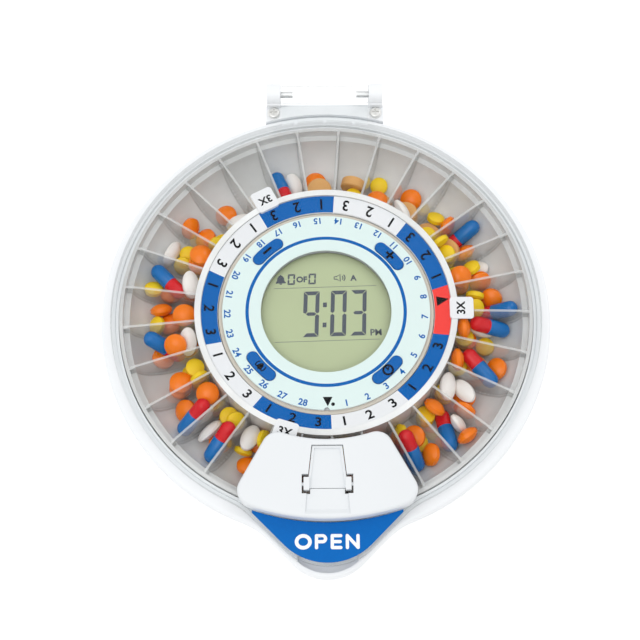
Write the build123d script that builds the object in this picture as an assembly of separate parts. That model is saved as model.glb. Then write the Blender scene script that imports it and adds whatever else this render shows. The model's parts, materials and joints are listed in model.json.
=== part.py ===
from build123d import *
import math
import os

# Automatic pill dispenser: a round tray of pill compartments turned by a geared motor inside a white
# bowl, under a clear hinged lid with a gravity flap, round a central column with display and buttons.
# Millimetres and degrees. The origin is on the tray's axis, at the underside of the foot ring;
# +Z is up, the opening tab points to -Y and the lid's hinge is at +Y.

# ---- Control column ----
window_radius = 29.0        # round window over the display
button_land = 10.0          # from the window's edge to the middle of the buttons
panel_land = 7.1            # from the middle of the buttons to the panel's edge
column_wall = 2.1
panel_drop = 2.8            # printed panel below the hub's rim
overlay_thickness = 0.5
faceplate_thickness = 2.0
panel_notch = 1.2           # radius of the small notch in the panel's front edge
spigot_gap = 0.1
spigot_wall = 1.2
spigot_depth = 2.0
lens_gap = 0.1
lens_thickness = 2.1
lens_flange = 1.5           # reach of the lens's flange under the faceplate
lens_flange_thickness = 0.9
board_drop = 8.1            # board's underside below the faceplate
board_thickness = 1.6
board_gap = 0.4
shelf_width = 4.5
shelf_thickness = 1.4
lcd_margin = 1.0            # display past the window's edge on each side
lcd_corner = 14.0
lcd_thickness = 2.6
lcd_gap = 1.3               # below the faceplate
lcd_frame_width = 3.0
button_width = 5.6
button_span = 24.6          # degrees, over the round ends
button_angles = {"plus": 42.2, "minus": 132.4, "alarm": 222.4, "clock": -46.7}
button_gap = 0.2
button_proud = 0.7
button_travel = 0.8
button_round = 0.5
button_flange = 0.6
button_flange_thickness = 1.1
button_seat = 0.1           # flange below the faceplate
button_stem = 1.4           # below the flange
button_stem_radius = 2.0
switch_side = 6.0
switch_plunger_radius = 1.6
switch_plunger_height = 0.6
buzzer_radius = 6.0
buzzer_height = 6.0
buzzer_place = (-16.0, -20.0)
tilt_switch_radius = 2.6
tilt_switch_height = 8.0
tilt_switch_place = (16.0, -18.0)

# ---- Tray ----
compartments = 29
compartment_phase = 11.4    # direction of the first divider
column_gap = 2.1            # between the panel and the tray's cone
hub_width = 12.1            # from the panel's edge to the compartments
hub_rim_width = 2.7
hub_rim_rise = 1.0          # hub rim over the dividers
cone_rise = 2.6             # of the cone that carries the dose ring
cone_wall = 1.6
compartment_length = 33.3   # from the hub to the outside of the tray
floor_flat = 11.8           # flat part of that, before the floor curves up
tray_wall = 1.5
tray_depth = 20.1           # from the tray's floor to the top of its dividers
divider_thickness = 1.2
divider_fit = 0.02          # between the dividers and the tray
divider_corner = 2.5        # bevel at the dividers' outer end
ledge_width = 2.4           # step inside the tray's outer wall
ledge_drop = 5.8            # from the dividers' top down to that step
wall_drop = 1.0             # from the dividers' top down to the top of the outer wall
dose_ring_thickness = 0.7
dose_ring_gap = 0.1
dose_tab_angles = (-0.5, 117.5, 252.5)
dose_tab_reach = 6.8        # past the hub
dose_tab_width = 10.2
dose_tab_corner = 1.4
dose_tab_thickness = 0.55
dose_tab_root = 0.7

# ---- Drive ----
gear_gap = 2.2              # from the panel's edge to the pitch circle of the toothed ring
ring_teeth = 87             # three teeth to a compartment
pinion_teeth = 12           # so a quarter turn of the pinion moves one compartment
gear_width = 5.0
gear_lift = 2.2             # teeth over the tray's underside
pinion_lift = 0.6           # pinion over the foot of the teeth
tooth_depth = 1.3           # below the pitch circle, in modules
ring_tooth_height = 0.62    # above the pitch circle, in modules
pressure_angle = 20.0
backlash = 0.10             # share of a tooth's thickness taken off each flank pair
pinion_angle = 90.0         # where the pinion stands, from +X
pinion_room = 0.7
shaft_radius = 1.5
running_gap = 0.05          # radial clearance of shafts and pins
gearbox_length = 26.0
gearbox_width = 19.0
gearbox_foot = 5.0          # over the bowl's floor
gearbox_corner = 2.5
motor_radius = 7.5
motor_length = 20.0
motor_drop = 0.7            # below the deck
motor_cap_radius = 2.6
motor_cap_length = 1.6

# ---- Base ----
well_gap = 0.5              # round the tray, inside the rim
rim_land = 8.0              # rim from the tray's well to the base's edge
rim_width = 4.8             # from the base's edge in to the lid's edge
rim_band = 7.0              # height of the upright band below the rim
rim_round = 1.5             # rounding of the rim's outer edge
collar_width = 1.0          # upstand inside the rim that centres the lid
collar_height = 1.5
lip_reach = 17.2            # front lip past the round base
nose_radius = 20.5          # rounding of the front lip
flank_angle = 45.0          # sides of the front lip, from the X axis
flank_blend = 30.0          # hollow rounding between the rim and the front lip
lip_foot_z = 6.0            # where the front lip runs out into the bowl
lip_foot_scale = 0.66
base_wall = 2.4
bowl_curve = 62.0           # radius of the bowl's bulging side, seen in section
foot_radius = 68.0
foot_width = 6.0
foot_height = 2.0
foot_groove = 0.8           # how far the foot ring is let into the bowl
foot_margin = 6.0           # flat underside past the foot ring
screw_radius = 1.5
screw_head_radius = 2.8
screw_head_height = 1.8
screw_length = 9.0
screw_gap = 0.2
case_screw_count = 4
case_screw_inset = 4.0      # from the foot ring in to the screws
boss_radius = 4.0
deck_thickness = 2.0
deck_gap = 0.3
track_inset = 4.0           # circular rib that the tray runs on, inside the floor's curve
track_width = 2.0
track_height = 1.5
track_gap = 0.2
wire_slot = (16.0, 6.0)     # hole in the deck for the wires to the board
wire_slot_y = -19.0

# ---- Batteries: four AA cells side by side ----
cell_radius = 7.25
cell_length = 50.5
cell_pitch = 15.0
cell_count = 4
cell_nub = 1.0
cell_nub_radius = 2.75
cell_end_room = 2.25        # for the contacts, at each end
cell_top_room = 0.3
cell_rib = 1.0
bay_wall = 1.5
contact_size = 9.0
contact_thickness = 0.4
contact_spring_radius = 2.4
door_gap = 0.3
door_thickness = 2.0
door_inset = 0.1
door_pin_radius = 0.6
door_pin_length = 2.0
door_tab = 5.0              # reach and half width of the finger tab
door_tab_thickness = 1.0
door_grip_count = 5
door_grip_pitch = 2.2

# ---- Lid ----
lid_wall = 2.0
lid_rise = 1.2              # lid's underside over the hub's rim
skirt_wall = 1.8
bevel_drop = 3.8            # from the flat top down to the lid's edge and tab
bevel_width = 6.2
bevel_inset = 0.8           # inner corner of the shoulder inside the outer one
lid_depth = 8.0             # flat top to the foot of the skirt
lid_seat_gap = 0.5          # skirt over the rim
tab_reach = 18.1            # opening tab past the round lid
tab_nose = 27.0             # rounding of the tab
tab_blend = 30.0
label_inset = 1.3
label_gap = 0.2             # from the foot of the bevel
label_half = 31.5
label_thickness = 0.3
finger_width = 25.2
finger_reach = 9.4          # from the lip's tip back to the end of the finger notch
finger_lip = 1.8            # rim left in front of the finger notch
finger_depth = 4.0          # below the rim
finger_wall = 1.2
finger_relief = 2.5         # skirt cut away over the finger notch

# ---- Hinge ----
hinge_reach = 9.3           # hinge axis behind the base's edge
hinge_drop = 0.8            # hinge axis below the lid's edge
barrel_radius = 4.2
barrel_length = 41.2
barrel_gap = 0.6            # in front of the barrel
arm_inset = 0.4
arm_thickness = 2.0
rib_pitch = 13.5
rib_thickness = 1.6
rib_height = 1.6
post_width = 6.4
post_gap = 0.3
post_radius = 5.2
hinge_pin_radius = 1.5
hinge_pin_grip = 5.5        # length of each pin inside the barrel
hinge_pin_cover = 1.0       # post left outside each pin
tongue_drop = 2.0           # below the rim
tongue_thickness = 5.5
tongue_root = 14.0          # how far the webs run into the bowl
tongue_web = 16.0           # height of the webs under the tongue
bracket_thickness = 3.0
bracket_gap = 0.2
hinge_screw_x = 24.0
hinge_screw_reach = 0.6     # behind the base's edge

# ---- Dispensing door on the lid ----
cover_thickness = 2.8
cover_start = 3.0           # hollow inner edge past the hub
cover_margin = 0.2          # outer edge inside the lid's edge
cover_inner_half = 24.0     # half width where the sides meet the inner edge
cover_side_slope = 0.55     # how much the sides widen for each millimetre outwards
cover_corner = 7.0
cover_round = 1.4
flap_margin = 2.7           # flap past the cover's inner edge
flap_length = 16.6          # from its free end to its pins
flap_tail = 1.9             # past its pins
flap_half_start = 6.6
flap_half_end = 8.7
flap_thickness = 1.2
flap_rail = 0.9
flap_rail_height = 0.7
flap_gap = 0.3
ear_width = 0.9
ear_length = 6.6
ear_height = 2.6
ear_gap = 0.8
flap_pin_radius = 0.8
flap_pin_length = 1.8
ramp_length = 10.7
ramp_half_end = 9.4
ramp_depth = 1.3
ramp_draft = 2.0
window_margin = 1.0         # lid's window inside the flap's edge, which makes the flap's stop
stake_radius = 1.3
stake_head = 0.8
stake_insets = ((20.0, 6.8), (28.0, 18.8))  # sideways, and past the cover's inner edge

# ---- Lock ----
lock_drop = 11.5            # axis below the rim
lock_inset = 6.2            # front of the lock behind the lip's tip
lock_radius = 5.5
lock_flange = 6.6
lock_flange_thickness = 1.2
lock_length = 11.5
lock_boss_wall = 0.8
plug_radius = 3.8
keyway_width = 1.2
keyway_height = 4.8
keyway_depth = 6.0
cam_reach = 5.8
cam_width = 3.0
cam_thickness = 1.6
cam_gap = 0.2
striker_depth = 13.6        # middle of the striker behind the lock's face
striker_thickness = 2.0
striker_inner = 4.3
striker_outer = 8.6
striker_bar = 2.0
striker_foot = 2.2
striker_play = 1.3          # between the cam and the striker's foot
striker_room = 1.2          # round the striker in its slot

# ---- Heights that follow ----
bowl_bottom = foot_height - foot_groove
bowl_floor = bowl_bottom + base_wall
cell_z = bowl_floor + cell_top_room + cell_radius
bay_top = cell_z + cell_radius + cell_top_room
deck_bottom = bay_top + bay_wall + cell_top_room
deck_top = deck_bottom + deck_thickness
tray_bottom = deck_top + track_height + track_gap
tray_floor = tray_bottom + tray_wall
divider_top = tray_floor + tray_depth
hub_rim = divider_top + hub_rim_rise
panel_top = hub_rim - panel_drop
faceplate_top = panel_top - overlay_thickness
faceplate_bottom = faceplate_top - faceplate_thickness
lid_under = hub_rim + lid_rise
lid_top = lid_under + lid_wall
lid_edge = lid_top - bevel_drop
skirt_foot = lid_top - lid_depth
rim_top = skirt_foot - lid_seat_gap
band_bottom = rim_top - rim_band
cover_top = lid_top + cover_thickness

# ---- Radii and places that follow ----
button_ring = window_radius + button_land
panel_radius = button_ring + panel_land
column_bore = panel_radius - column_wall
seat_inner = panel_radius + column_gap
hub_radius = panel_radius + hub_width
seat_outer = hub_radius - hub_rim_width
floor_flat_radius = hub_radius + floor_flat
tray_radius = hub_radius + compartment_length
well_radius = tray_radius + well_gap
base_radius = well_radius + rim_land
base_tip = base_radius + lip_reach
lid_radius = base_radius - rim_width
tab_tip = lid_radius + tab_reach
finger_back = base_tip - finger_reach
bottom_radius = foot_radius + foot_margin
case_screw_ring = foot_radius - foot_width - case_screw_inset
track_radius = floor_flat_radius - track_inset
compartment_pitch = 360.0 / compartments
lcd_size = 2 * (window_radius + lcd_margin)
stem_reach = button_seat + button_flange_thickness + button_stem
bay_half = (cell_count * cell_pitch) / 2
bay_length = cell_length + 2 * cell_end_room
seat_bottom = faceplate_top - dose_ring_thickness
gear_pitch_radius = panel_radius + gear_gap
module = 2 * gear_pitch_radius / ring_teeth
pinion_pitch_radius = pinion_teeth * module / 2
pinion_distance = gear_pitch_radius - pinion_pitch_radius
pinion_place = Rot(0, 0, pinion_angle) * Pos(pinion_distance, 0, 0)
gear_bottom = tray_bottom + gear_lift
board_bottom = faceplate_bottom - board_drop
board_top = board_bottom + board_thickness
cover_inner = hub_radius + cover_start
cover_outer = lid_radius - cover_margin
flap_start = cover_inner + flap_margin
flap_hinge = flap_start + flap_length
flap_end = flap_hinge + flap_tail
ramp_end = flap_end + ramp_length
flap_axis_z = lid_top + cover_thickness / 2
stake_places = [(side * x, -cover_inner - y) for x, y in stake_insets for side in (-1, 1)]
hinge_y = base_radius + hinge_reach
hinge_z = lid_edge - hinge_drop
lock_z = rim_top - lock_drop
lock_face = base_tip - lock_inset
striker_y = lock_face - striker_depth


# ---- Shapes used in several places ----
def disc(radius, bottom, top):
    return Pos(0, 0, bottom) * extrude(Circle(radius), top - bottom)


def ring(outer, inner, bottom, top):
    return Pos(0, 0, bottom) * extrude(Circle(outer) - Circle(inner), top - bottom)


def block(x0, x1, y0, y1, z0, z1):
    middle = Pos((x0 + x1) / 2, (y0 + y1) / 2, (z0 + z1) / 2)
    return middle * Box(x1 - x0, y1 - y0, z1 - z0)


def slab(sketch, bottom, top):
    return Pos(0, 0, bottom) * extrude(sketch, top - bottom)


def turned(section):
    """Turns a section drawn as (radius, height) about the tray's axis."""
    return revolve(Plane.XZ * section, Axis.Z)


def rod_x(radius, x0, x1, y, z):
    return Pos((x0 + x1) / 2, y, z) * Rot(0, 90, 0) * Cylinder(radius, x1 - x0)


def rod_y(radius, y0, y1, x, z):
    return Pos(x, (y0 + y1) / 2, z) * Rot(90, 0, 0) * Cylinder(radius, y1 - y0)


def flank(radius, tip, nose, blend):
    """Points of the right flank: end of the nose's arc, end of the straight, middle of the hollow, start of the rim."""
    angle = math.radians(flank_angle)
    along = Vector(math.cos(angle), math.sin(angle))
    outward = Vector(math.sin(angle), -math.cos(angle))
    touch = Vector(0, nose - tip) + outward * nose
    start = touch + outward * blend
    half = start.dot(along)
    travel = -half - math.sqrt(half**2 - start.dot(start) + (radius + blend) ** 2)
    flank_end = touch + along * travel
    centre = start + along * travel
    rim_end = centre * (radius / (radius + blend))
    hollow = centre + (flank_end - centre + rim_end - centre).normalized() * blend
    return touch, flank_end, hollow, rim_end


def flip(point):
    return (-point.X, point.Y)


def nosed_outline(radius, tip, nose, blend):
    """A circle drawn out at the front to a rounded nose, with hollow flanks between the two."""
    touch, flank_end, hollow, rim_end = flank(radius, tip, nose, blend)
    edges = [
        ThreePointArc(flip(touch), (0, -tip), touch),
        Line(touch, flank_end),
        ThreePointArc(flank_end, hollow, rim_end),
        ThreePointArc(rim_end, (0, radius), flip(rim_end)),
        ThreePointArc(flip(rim_end), flip(hollow), flip(flank_end)),
        Line(flip(flank_end), flip(touch)),
    ]
    return make_face(edges)


def base_sizes(inset):
    return base_radius - inset, base_tip - inset, nose_radius - inset, flank_blend + inset


def base_outline(inset):
    return nosed_outline(*base_sizes(inset))


def lid_outline(inset):
    return nosed_outline(lid_radius - inset, tab_tip - inset, tab_nose - inset, tab_blend + inset)


# The bowl's side in section is one arc from the underside's edge up to the rim's upright band.
bowl_start = Vector(bottom_radius, bowl_bottom)
bowl_end = Vector(base_radius, band_bottom)
bowl_chord = bowl_end - bowl_start
bowl_middle = (bowl_start + bowl_end) * 0.5
bowl_back = Vector(-bowl_chord.Y, bowl_chord.X).normalized()
bowl_centre = bowl_middle + bowl_back * math.sqrt(bowl_curve**2 - (bowl_chord.length / 2) ** 2)


def bowl_radius(height, inset=0.0):
    """Radius of the bowl's side at a height, or of its inner face for an inset of the wall."""
    return bowl_centre.X + math.sqrt((bowl_curve - inset) ** 2 - (height - bowl_centre.Y) ** 2)


def bowl_body(inset, bottom, top):
    """The bowl filled from one height to another, with its wall taken in by the inset."""
    shoulder = min(top, band_bottom)
    bend = (bottom + shoulder) / 2
    low = (bowl_radius(bottom, inset), bottom)
    high = (bowl_radius(shoulder, inset), shoulder)
    edges = [
        Line((0, bottom), low),
        ThreePointArc(low, (bowl_radius(bend, inset), bend), high),
        Line(high, (0, shoulder)),
        Line((0, shoulder), (0, bottom)),
    ]
    return turned(make_face(edges))


def front_lip(inset, top):
    """The front lip below the rim's band, narrowing downwards until it runs into the bowl."""
    depth = base_tip - base_radius / 2
    width = 2 * flank(*base_sizes(inset))[-1].X
    front = Pos(0, depth / 2 - base_tip) * Rectangle(width, depth)
    upper = base_outline(inset) & front
    lower = scale(upper, (lip_foot_scale, lip_foot_scale, 1))
    lip = loft([Pos(0, 0, lip_foot_z) * lower, Pos(0, 0, band_bottom) * upper], ruled=True)
    return lip + slab(upper, band_bottom, top) if top > band_bottom else lip


# ---- Base ----
def polar(radius, angle, height=0.0):
    turn = math.radians(angle)
    return Pos(radius * math.cos(turn), radius * math.sin(turn), height)


case_screw_angles = [45 + 360 * i / case_screw_count for i in range(case_screw_count)]
bay_front = -bay_length / 2
bay_back = bay_length / 2
door_axis_y = bay_back - door_pin_radius - 0.9
door_axis_z = bowl_bottom + base_wall / 2
tongue_half = post_gap + barrel_length / 2 + post_width + 0.5
tongue_back = hinge_y - barrel_radius - barrel_gap
tongue_top = rim_top - tongue_drop
tongue_bottom = tongue_top - tongue_thickness
bracket_plate_top = tongue_top + bracket_thickness
hinge_screw_places = [(side * hinge_screw_x, base_radius + hinge_screw_reach) for side in (-1, 1)]


def finger_cup(wall, bottom, top):
    """Space for a fingertip under the opening tab, grown by a wall and following the lip's outline."""
    half = finger_width / 2 + wall
    across = sector(finger_back - wall, base_tip, half, half)
    return slab(across & base_outline(finger_lip - wall), bottom, top)


def base_bowl():
    """White lower housing: bowl, rim, front lip, battery opening, screw cups and hinge tongue."""
    body = bowl_body(0, bowl_bottom, band_bottom) + front_lip(0, band_bottom)
    band = slab(base_outline(0), band_bottom, rim_top)
    body += fillet(band.edges().group_by(Axis.Z)[-1], rim_round)
    tongue = block(-tongue_half, tongue_half, 0, tongue_back, tongue_bottom, tongue_top)
    web = extrude(Plane.YZ * Polygon(
        (base_radius - tongue_root, tongue_bottom), (tongue_back, tongue_bottom),
        (base_radius - tongue_root, tongue_bottom - tongue_web), align=None), bay_wall, both=True)
    body += tongue
    for x in (-tongue_half + bay_wall, tongue_half - bay_wall):
        body += Pos(x, 0, 0) * web
    body += rod_y(lock_flange + lock_boss_wall, -lock_face, -lock_face + lock_length, 0, lock_z)
    hollow = bowl_body(base_wall, bowl_floor, band_bottom)
    hollow += front_lip(base_wall, rim_top - base_wall)
    hollow += disc(base_radius - base_wall, band_bottom, rim_top - base_wall)
    body -= hollow
    body += ring(well_radius + collar_width, well_radius, rim_top, rim_top + collar_height)
    body -= disc(well_radius, band_bottom, rim_top + 1)
    for angle in case_screw_angles:
        body += polar(case_screw_ring, angle) * disc(boss_radius + 1.0, bowl_floor, bowl_floor + base_wall)
        body -= polar(case_screw_ring, angle) * disc(screw_head_radius + 0.3, 0, bowl_floor + 0.6)
        body -= polar(case_screw_ring, angle) * disc(screw_radius + screw_gap, 0, bowl_floor + 2 * base_wall)
    for x, y in hinge_screw_places:
        body -= Pos(x, y) * disc(screw_radius, tongue_bottom - 1, tongue_top + 1)
    body -= ring(foot_radius, foot_radius - foot_width, 0, foot_height)
    body -= block(-bay_half, bay_half, bay_front, bay_back, 0, bowl_floor + 1)
    body -= block(-door_tab - 2, door_tab + 2, bay_front - door_tab - 1, bay_front + 1, 0, bowl_bottom + 1.3)
    pin_end = bay_half + door_pin_length + door_gap
    body -= rod_x(door_pin_radius + running_gap, -pin_end, pin_end, door_axis_y, door_axis_z)
    # finger notch under the opening tab, and the slot for the striker
    body += finger_cup(finger_wall, rim_top - finger_depth - finger_wall, rim_top - rim_round)
    body -= finger_cup(0, rim_top - finger_depth, rim_top + 1)
    slot_reach = striker_thickness / 2 + striker_room
    body -= block(striker_inner - striker_room, striker_outer + striker_room, -striker_y - slot_reach,
                  -striker_y + slot_reach, rim_top - base_wall - 1, rim_top + 1)
    body -= rod_y(lock_radius, -lock_face - 1, -lock_face + lock_length + 1, 0, lock_z)
    body -= rod_y(lock_flange, -lock_face - 1, -lock_face + lock_flange_thickness, 0, lock_z)
    return body


def foot_ring():
    """Soft anti-slip ring let into the underside."""
    return ring(foot_radius, foot_radius - foot_width, 0, foot_height)


def battery_box():
    """Box over the cells, open downwards, with a rib between each two cells."""
    body = block(-bay_half - bay_wall, bay_half + bay_wall, bay_front - bay_wall, bay_back + bay_wall,
                 bowl_floor, bay_top + bay_wall)
    body -= block(-bay_half, bay_half, bay_front, bay_back, bowl_floor - 1, bay_top)
    for i in range(1, cell_count):
        x = i * cell_pitch - bay_half
        body += block(x - cell_rib / 2, x + cell_rib / 2, bay_front, bay_back, cell_z + cell_radius * 0.6, bay_top)
    return body


def cell_x(i):
    return (i + 0.5) * cell_pitch - bay_half


def aa_cells():
    """Four AA cells, laid head to tail."""
    cells = []
    nub = cell_nub
    for i in range(cell_count):
        end = 1 if i % 2 else -1
        body = rod_y(cell_radius, -cell_length / 2 + nub / 2, cell_length / 2 - nub / 2, 0, 0)
        body = chamfer(body.edges().filter_by(GeomType.CIRCLE), 0.5)
        body = Pos(0, -end * nub / 2, 0) * body
        head = rod_y(cell_nub_radius, 0, nub, 0, 0)
        body += Pos(0, cell_length / 2 - nub if end > 0 else -cell_length / 2, 0) * head
        cells.append(Pos(cell_x(i), 0, cell_z) * body)
    return Compound(children=cells)


def battery_contacts():
    """A sprung plate at each end of each cell."""
    plates = []
    for i in range(cell_count):
        for side in (-1, 1):
            wall = side * bay_length / 2
            half = contact_size / 2
            plate = block(-half, half, 0, contact_thickness, -half - cell_rib / 2, half + cell_rib / 2)
            plate += rod_y(contact_spring_radius, contact_thickness, cell_end_room, 0, 0)
            turn = Rot(0, 0, 180) if side > 0 else Rot(0, 0, 0)
            plates.append(Pos(cell_x(i), wall, cell_z) * turn * plate)
    return Compound(children=plates)


def battery_door():
    """Door under the cells, hooked on two pins at the back, with a finger tab in front."""
    half = bay_half - door_gap
    bottom = bowl_bottom + door_inset
    top = bottom + door_thickness
    body = block(-half, half, bay_front + door_gap, door_axis_y, bottom, top)
    body += rod_x((top - bottom) / 2, -half, half, door_axis_y, (bottom + top) / 2)
    body += block(-door_tab, door_tab, bay_front - door_tab, bay_front + door_gap, bottom, bottom + door_tab_thickness)
    for i in range(door_grip_count):
        y = bay_front + door_tab + door_grip_pitch * (i - 1)
        body -= block(-door_tab, door_tab, y, y + door_grip_pitch / 2, bottom - 1, bottom + door_thickness / 4)
    pin_end = bay_half + door_pin_length
    body += rod_x(door_pin_radius, -pin_end, pin_end, door_axis_y, door_axis_z)
    return body


# ---- Deck and drive ----
def deck():
    """Floor of the tray's well, with the rib the tray runs on and four posts down to the case screws."""
    body = disc(bowl_radius(deck_bottom, base_wall) - deck_gap, deck_bottom, deck_top)
    body += ring(track_radius, track_radius - track_width, deck_top, deck_top + track_height)
    post_bottom = bowl_floor + base_wall + 0.1
    for angle in case_screw_angles:
        body += polar(case_screw_ring, angle) * disc(boss_radius, post_bottom, deck_bottom)
        body -= polar(case_screw_ring, angle) * disc(screw_radius, post_bottom - 1, post_bottom + screw_length - 1)
    body -= pinion_place * disc(shaft_radius + 1.5, deck_bottom - 1, deck_top + 1)
    body -= Pos(0, wire_slot_y) * slab(Rectangle(*wire_slot), deck_bottom - 1, deck_top + 1)
    return body


def pan_screw(length):
    """A screw standing on its head, from z 0 up."""
    head = disc(screw_head_radius, 0, screw_head_height)
    head = fillet(head.edges().filter_by(GeomType.CIRCLE).sort_by(Axis.Z)[:1], 0.9)
    head += disc(screw_radius, screw_head_height, length)
    head -= block(-0.35, 0.35, -1.6, 1.6, -1, 0.9)
    head -= block(-1.6, 1.6, -0.35, 0.35, -1, 0.9)
    return head


def case_screws():
    """Screws from below that hold the deck."""
    seat = bowl_floor + 0.6 - screw_head_height
    return Compound(children=[polar(case_screw_ring, a, seat) * pan_screw(screw_length) for a in case_screw_angles])


def involute(angle):
    return math.tan(angle) - angle


def tooth_half(radius, teeth, pitch, share):
    """Half the angle, in degrees, that an involute tooth fills at a radius."""
    base = pitch * math.cos(math.radians(pressure_angle))
    lean = math.acos(min(1.0, base / max(radius, base)))
    middle = math.pi / (2 * teeth) * share
    return math.degrees(middle + involute(math.radians(pressure_angle)) - involute(lean))


def toothed_wheel(teeth, pitch, root, tip, share, phase):
    """Face of a wheel with one tooth at the phase angle. Flanks are straight between three radii."""
    radii = [root, pitch, tip]
    points = []
    for i in range(teeth):
        middle = phase + 360.0 * i / teeth
        halves = [tooth_half(r, teeth, pitch, share) for r in radii]
        flank = [(r, middle - h) for r, h in zip(radii, halves)]
        flank += [(r, middle + h) for r, h in zip(reversed(radii), reversed(halves))]
        points += [(r * math.cos(math.radians(a)), r * math.sin(math.radians(a))) for r, a in flank]
    return make_face(Polyline(points, close=True))


def drive_pinion():
    """Pinion and shaft of the gear motor; it reaches through the column's side to the tray's teeth."""
    wheel = toothed_wheel(pinion_teeth, pinion_pitch_radius, pinion_pitch_radius - tooth_depth * module,
                          pinion_pitch_radius + module, 1 - backlash, 0)
    body = slab(wheel, gear_bottom + pinion_lift, gear_bottom + pinion_lift + gear_width)
    body += disc(shaft_radius, bowl_floor + gearbox_foot + gearbox_corner + 0.5, gear_bottom + 1)
    return pinion_place * body


def gearbox():
    """Reduction gearbox under the deck, with the bush for the pinion's shaft."""
    half = gearbox_length / 2
    foot = bowl_floor + gearbox_foot
    body = block(-gearbox_width / 2, gearbox_width / 2, -half, half, foot, deck_bottom - track_gap)
    body = fillet(body.edges().filter_by(Axis.Z), gearbox_corner)
    body -= disc(shaft_radius + running_gap, foot + gearbox_corner, deck_bottom + 1)
    return pinion_place * body


def drive_motor():
    """Can motor on the side of the gearbox."""
    height = deck_bottom - motor_drop - motor_radius
    start = -gearbox_length / 2
    body = rod_y(motor_radius, start - motor_length, start, 0, height)
    body = fillet(body.edges().filter_by(GeomType.CIRCLE).sort_by(Axis.Y)[:1], 1.2)
    end = start - motor_length
    body += rod_y(motor_cap_radius, end - motor_cap_length, end, 0, height)
    return pinion_place * body


# ---- Control column ----
def control_housing():
    """Column through the tray's hub, with a shelf for the circuit board and a window for the pinion."""
    body = ring(panel_radius, column_bore, deck_top, faceplate_bottom)
    body += ring(column_bore + 0.1, column_bore - shelf_width, board_bottom - shelf_thickness, board_bottom)
    reach = pinion_pitch_radius + module + pinion_room
    window = block(pinion_distance - 1, panel_radius + 1, -reach, reach, gear_bottom - pinion_room / 2,
                   gear_bottom + gear_width + 2 * pinion_room)
    body -= Rot(0, 0, pinion_angle) * window
    return body


def button_slot(angle, grow):
    """Outline of a button: a slot bent round the dial, grown all round."""
    end_span = 2 * math.degrees(math.asin(button_width / 2 / button_ring))
    span = button_span - end_span
    arc = CenterArc((0, 0), button_ring, angle - span / 2, span)
    return SlotArc(arc, button_width + 2 * grow)


def dial_face(radius):
    """Face of the dial with its round window, four button slots and the small notch in front."""
    face = Circle(radius) - Circle(window_radius)
    for angle in button_angles.values():
        face -= button_slot(angle, 0)
    return face - Pos(0, -radius) * Circle(panel_notch)


def faceplate():
    """Plate that closes the column, with a spigot into its bore."""
    body = slab(dial_face(panel_radius), faceplate_bottom, faceplate_top)
    spigot = column_bore - spigot_gap
    body += ring(spigot, spigot - spigot_wall, faceplate_bottom - spigot_depth, faceplate_bottom)
    return body


def dial_overlay():
    """Printed film on the faceplate."""
    return slab(dial_face(panel_radius), faceplate_top, panel_top)


def display_lens():
    """Clear window over the display, held by its flange under the faceplate."""
    body = disc(window_radius - lens_gap, faceplate_bottom, faceplate_bottom + lens_thickness)
    body += disc(window_radius + lens_flange, faceplate_bottom - lens_flange_thickness, faceplate_bottom)
    return body


def lcd_outline(inset):
    side = lcd_size - 2 * inset
    square = Rectangle(side, side)
    return chamfer(square.vertices(), lcd_corner - inset * 0.6)


def lcd_panel():
    top = faceplate_bottom - lcd_gap
    return slab(lcd_outline(0), top - lcd_thickness, top)


def lcd_frame():
    """Frame that stands the display off the board."""
    top = faceplate_bottom - lcd_gap - lcd_thickness
    return slab(lcd_outline(0) - lcd_outline(lcd_frame_width), board_top, top)


def circuit_board():
    """Board on the column's shelf."""
    return disc(column_bore - board_gap, board_bottom, board_top)


def key_switches():
    """A tact switch on the board under each button."""
    plunger_top = faceplate_bottom - stem_reach - button_travel
    body_top = plunger_top - switch_plunger_height
    half = switch_side / 2
    switches = []
    for angle in button_angles.values():
        switch = block(-half, half, -half, half, board_top, body_top)
        switch += disc(switch_plunger_radius, body_top, plunger_top - running_gap)
        switches.append(Rot(0, 0, angle) * Pos(button_ring, 0, 0) * switch)
    return Compound(children=switches)


def buzzer():
    """Sounder under the board, with its sound hole."""
    bottom = board_bottom - buzzer_height
    body = disc(buzzer_radius, bottom, board_bottom) - disc(buzzer_radius / 6, bottom - 1, bottom + buzzer_height / 4)
    return Pos(*buzzer_place) * body


def tilt_switch():
    """Ball switch that tells when the dispenser has been turned over."""
    return Pos(*tilt_switch_place) * disc(tilt_switch_radius, board_bottom - tilt_switch_height, board_bottom)


def button(name):
    """Button cap with a flange under the faceplate and a stem down to its switch."""
    angle = button_angles[name]
    under = faceplate_bottom - button_seat
    cap = slab(button_slot(angle, -button_gap), under, panel_top + button_proud)
    cap = fillet(cap.edges().group_by(Axis.Z)[-1], button_round)
    cap += slab(button_slot(angle, button_flange), under - button_flange_thickness, under)
    stem = disc(button_stem_radius, faceplate_bottom - stem_reach, under - button_flange_thickness / 2)
    return cap + Rot(0, 0, angle) * Pos(button_ring, 0, 0) * stem


# ---- Tray ----
# The floor is flat near the hub and then curves up in one arc to the step inside the outer wall.
step_height = divider_top - ledge_drop
step_radius = tray_radius - tray_wall - ledge_width
curve_run = step_radius - floor_flat_radius
curve_rise = step_height - tray_floor
curve_radius = (curve_run**2 + curve_rise**2) / (2 * curve_rise)
curve_turn = math.atan2(curve_run, curve_radius - curve_rise)


def curve_point(share, inset=0.0):
    """A point of the floor's curve, from 0 at the flat to 1 at the step, or of its underside."""
    turn = curve_turn * share
    reach = curve_radius + inset
    return (floor_flat_radius + reach * math.sin(turn), tray_floor + curve_radius - reach * math.cos(turn))


def seat_height(radius):
    return seat_bottom + cone_rise * (radius - seat_inner) / (seat_outer - seat_inner)


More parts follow.
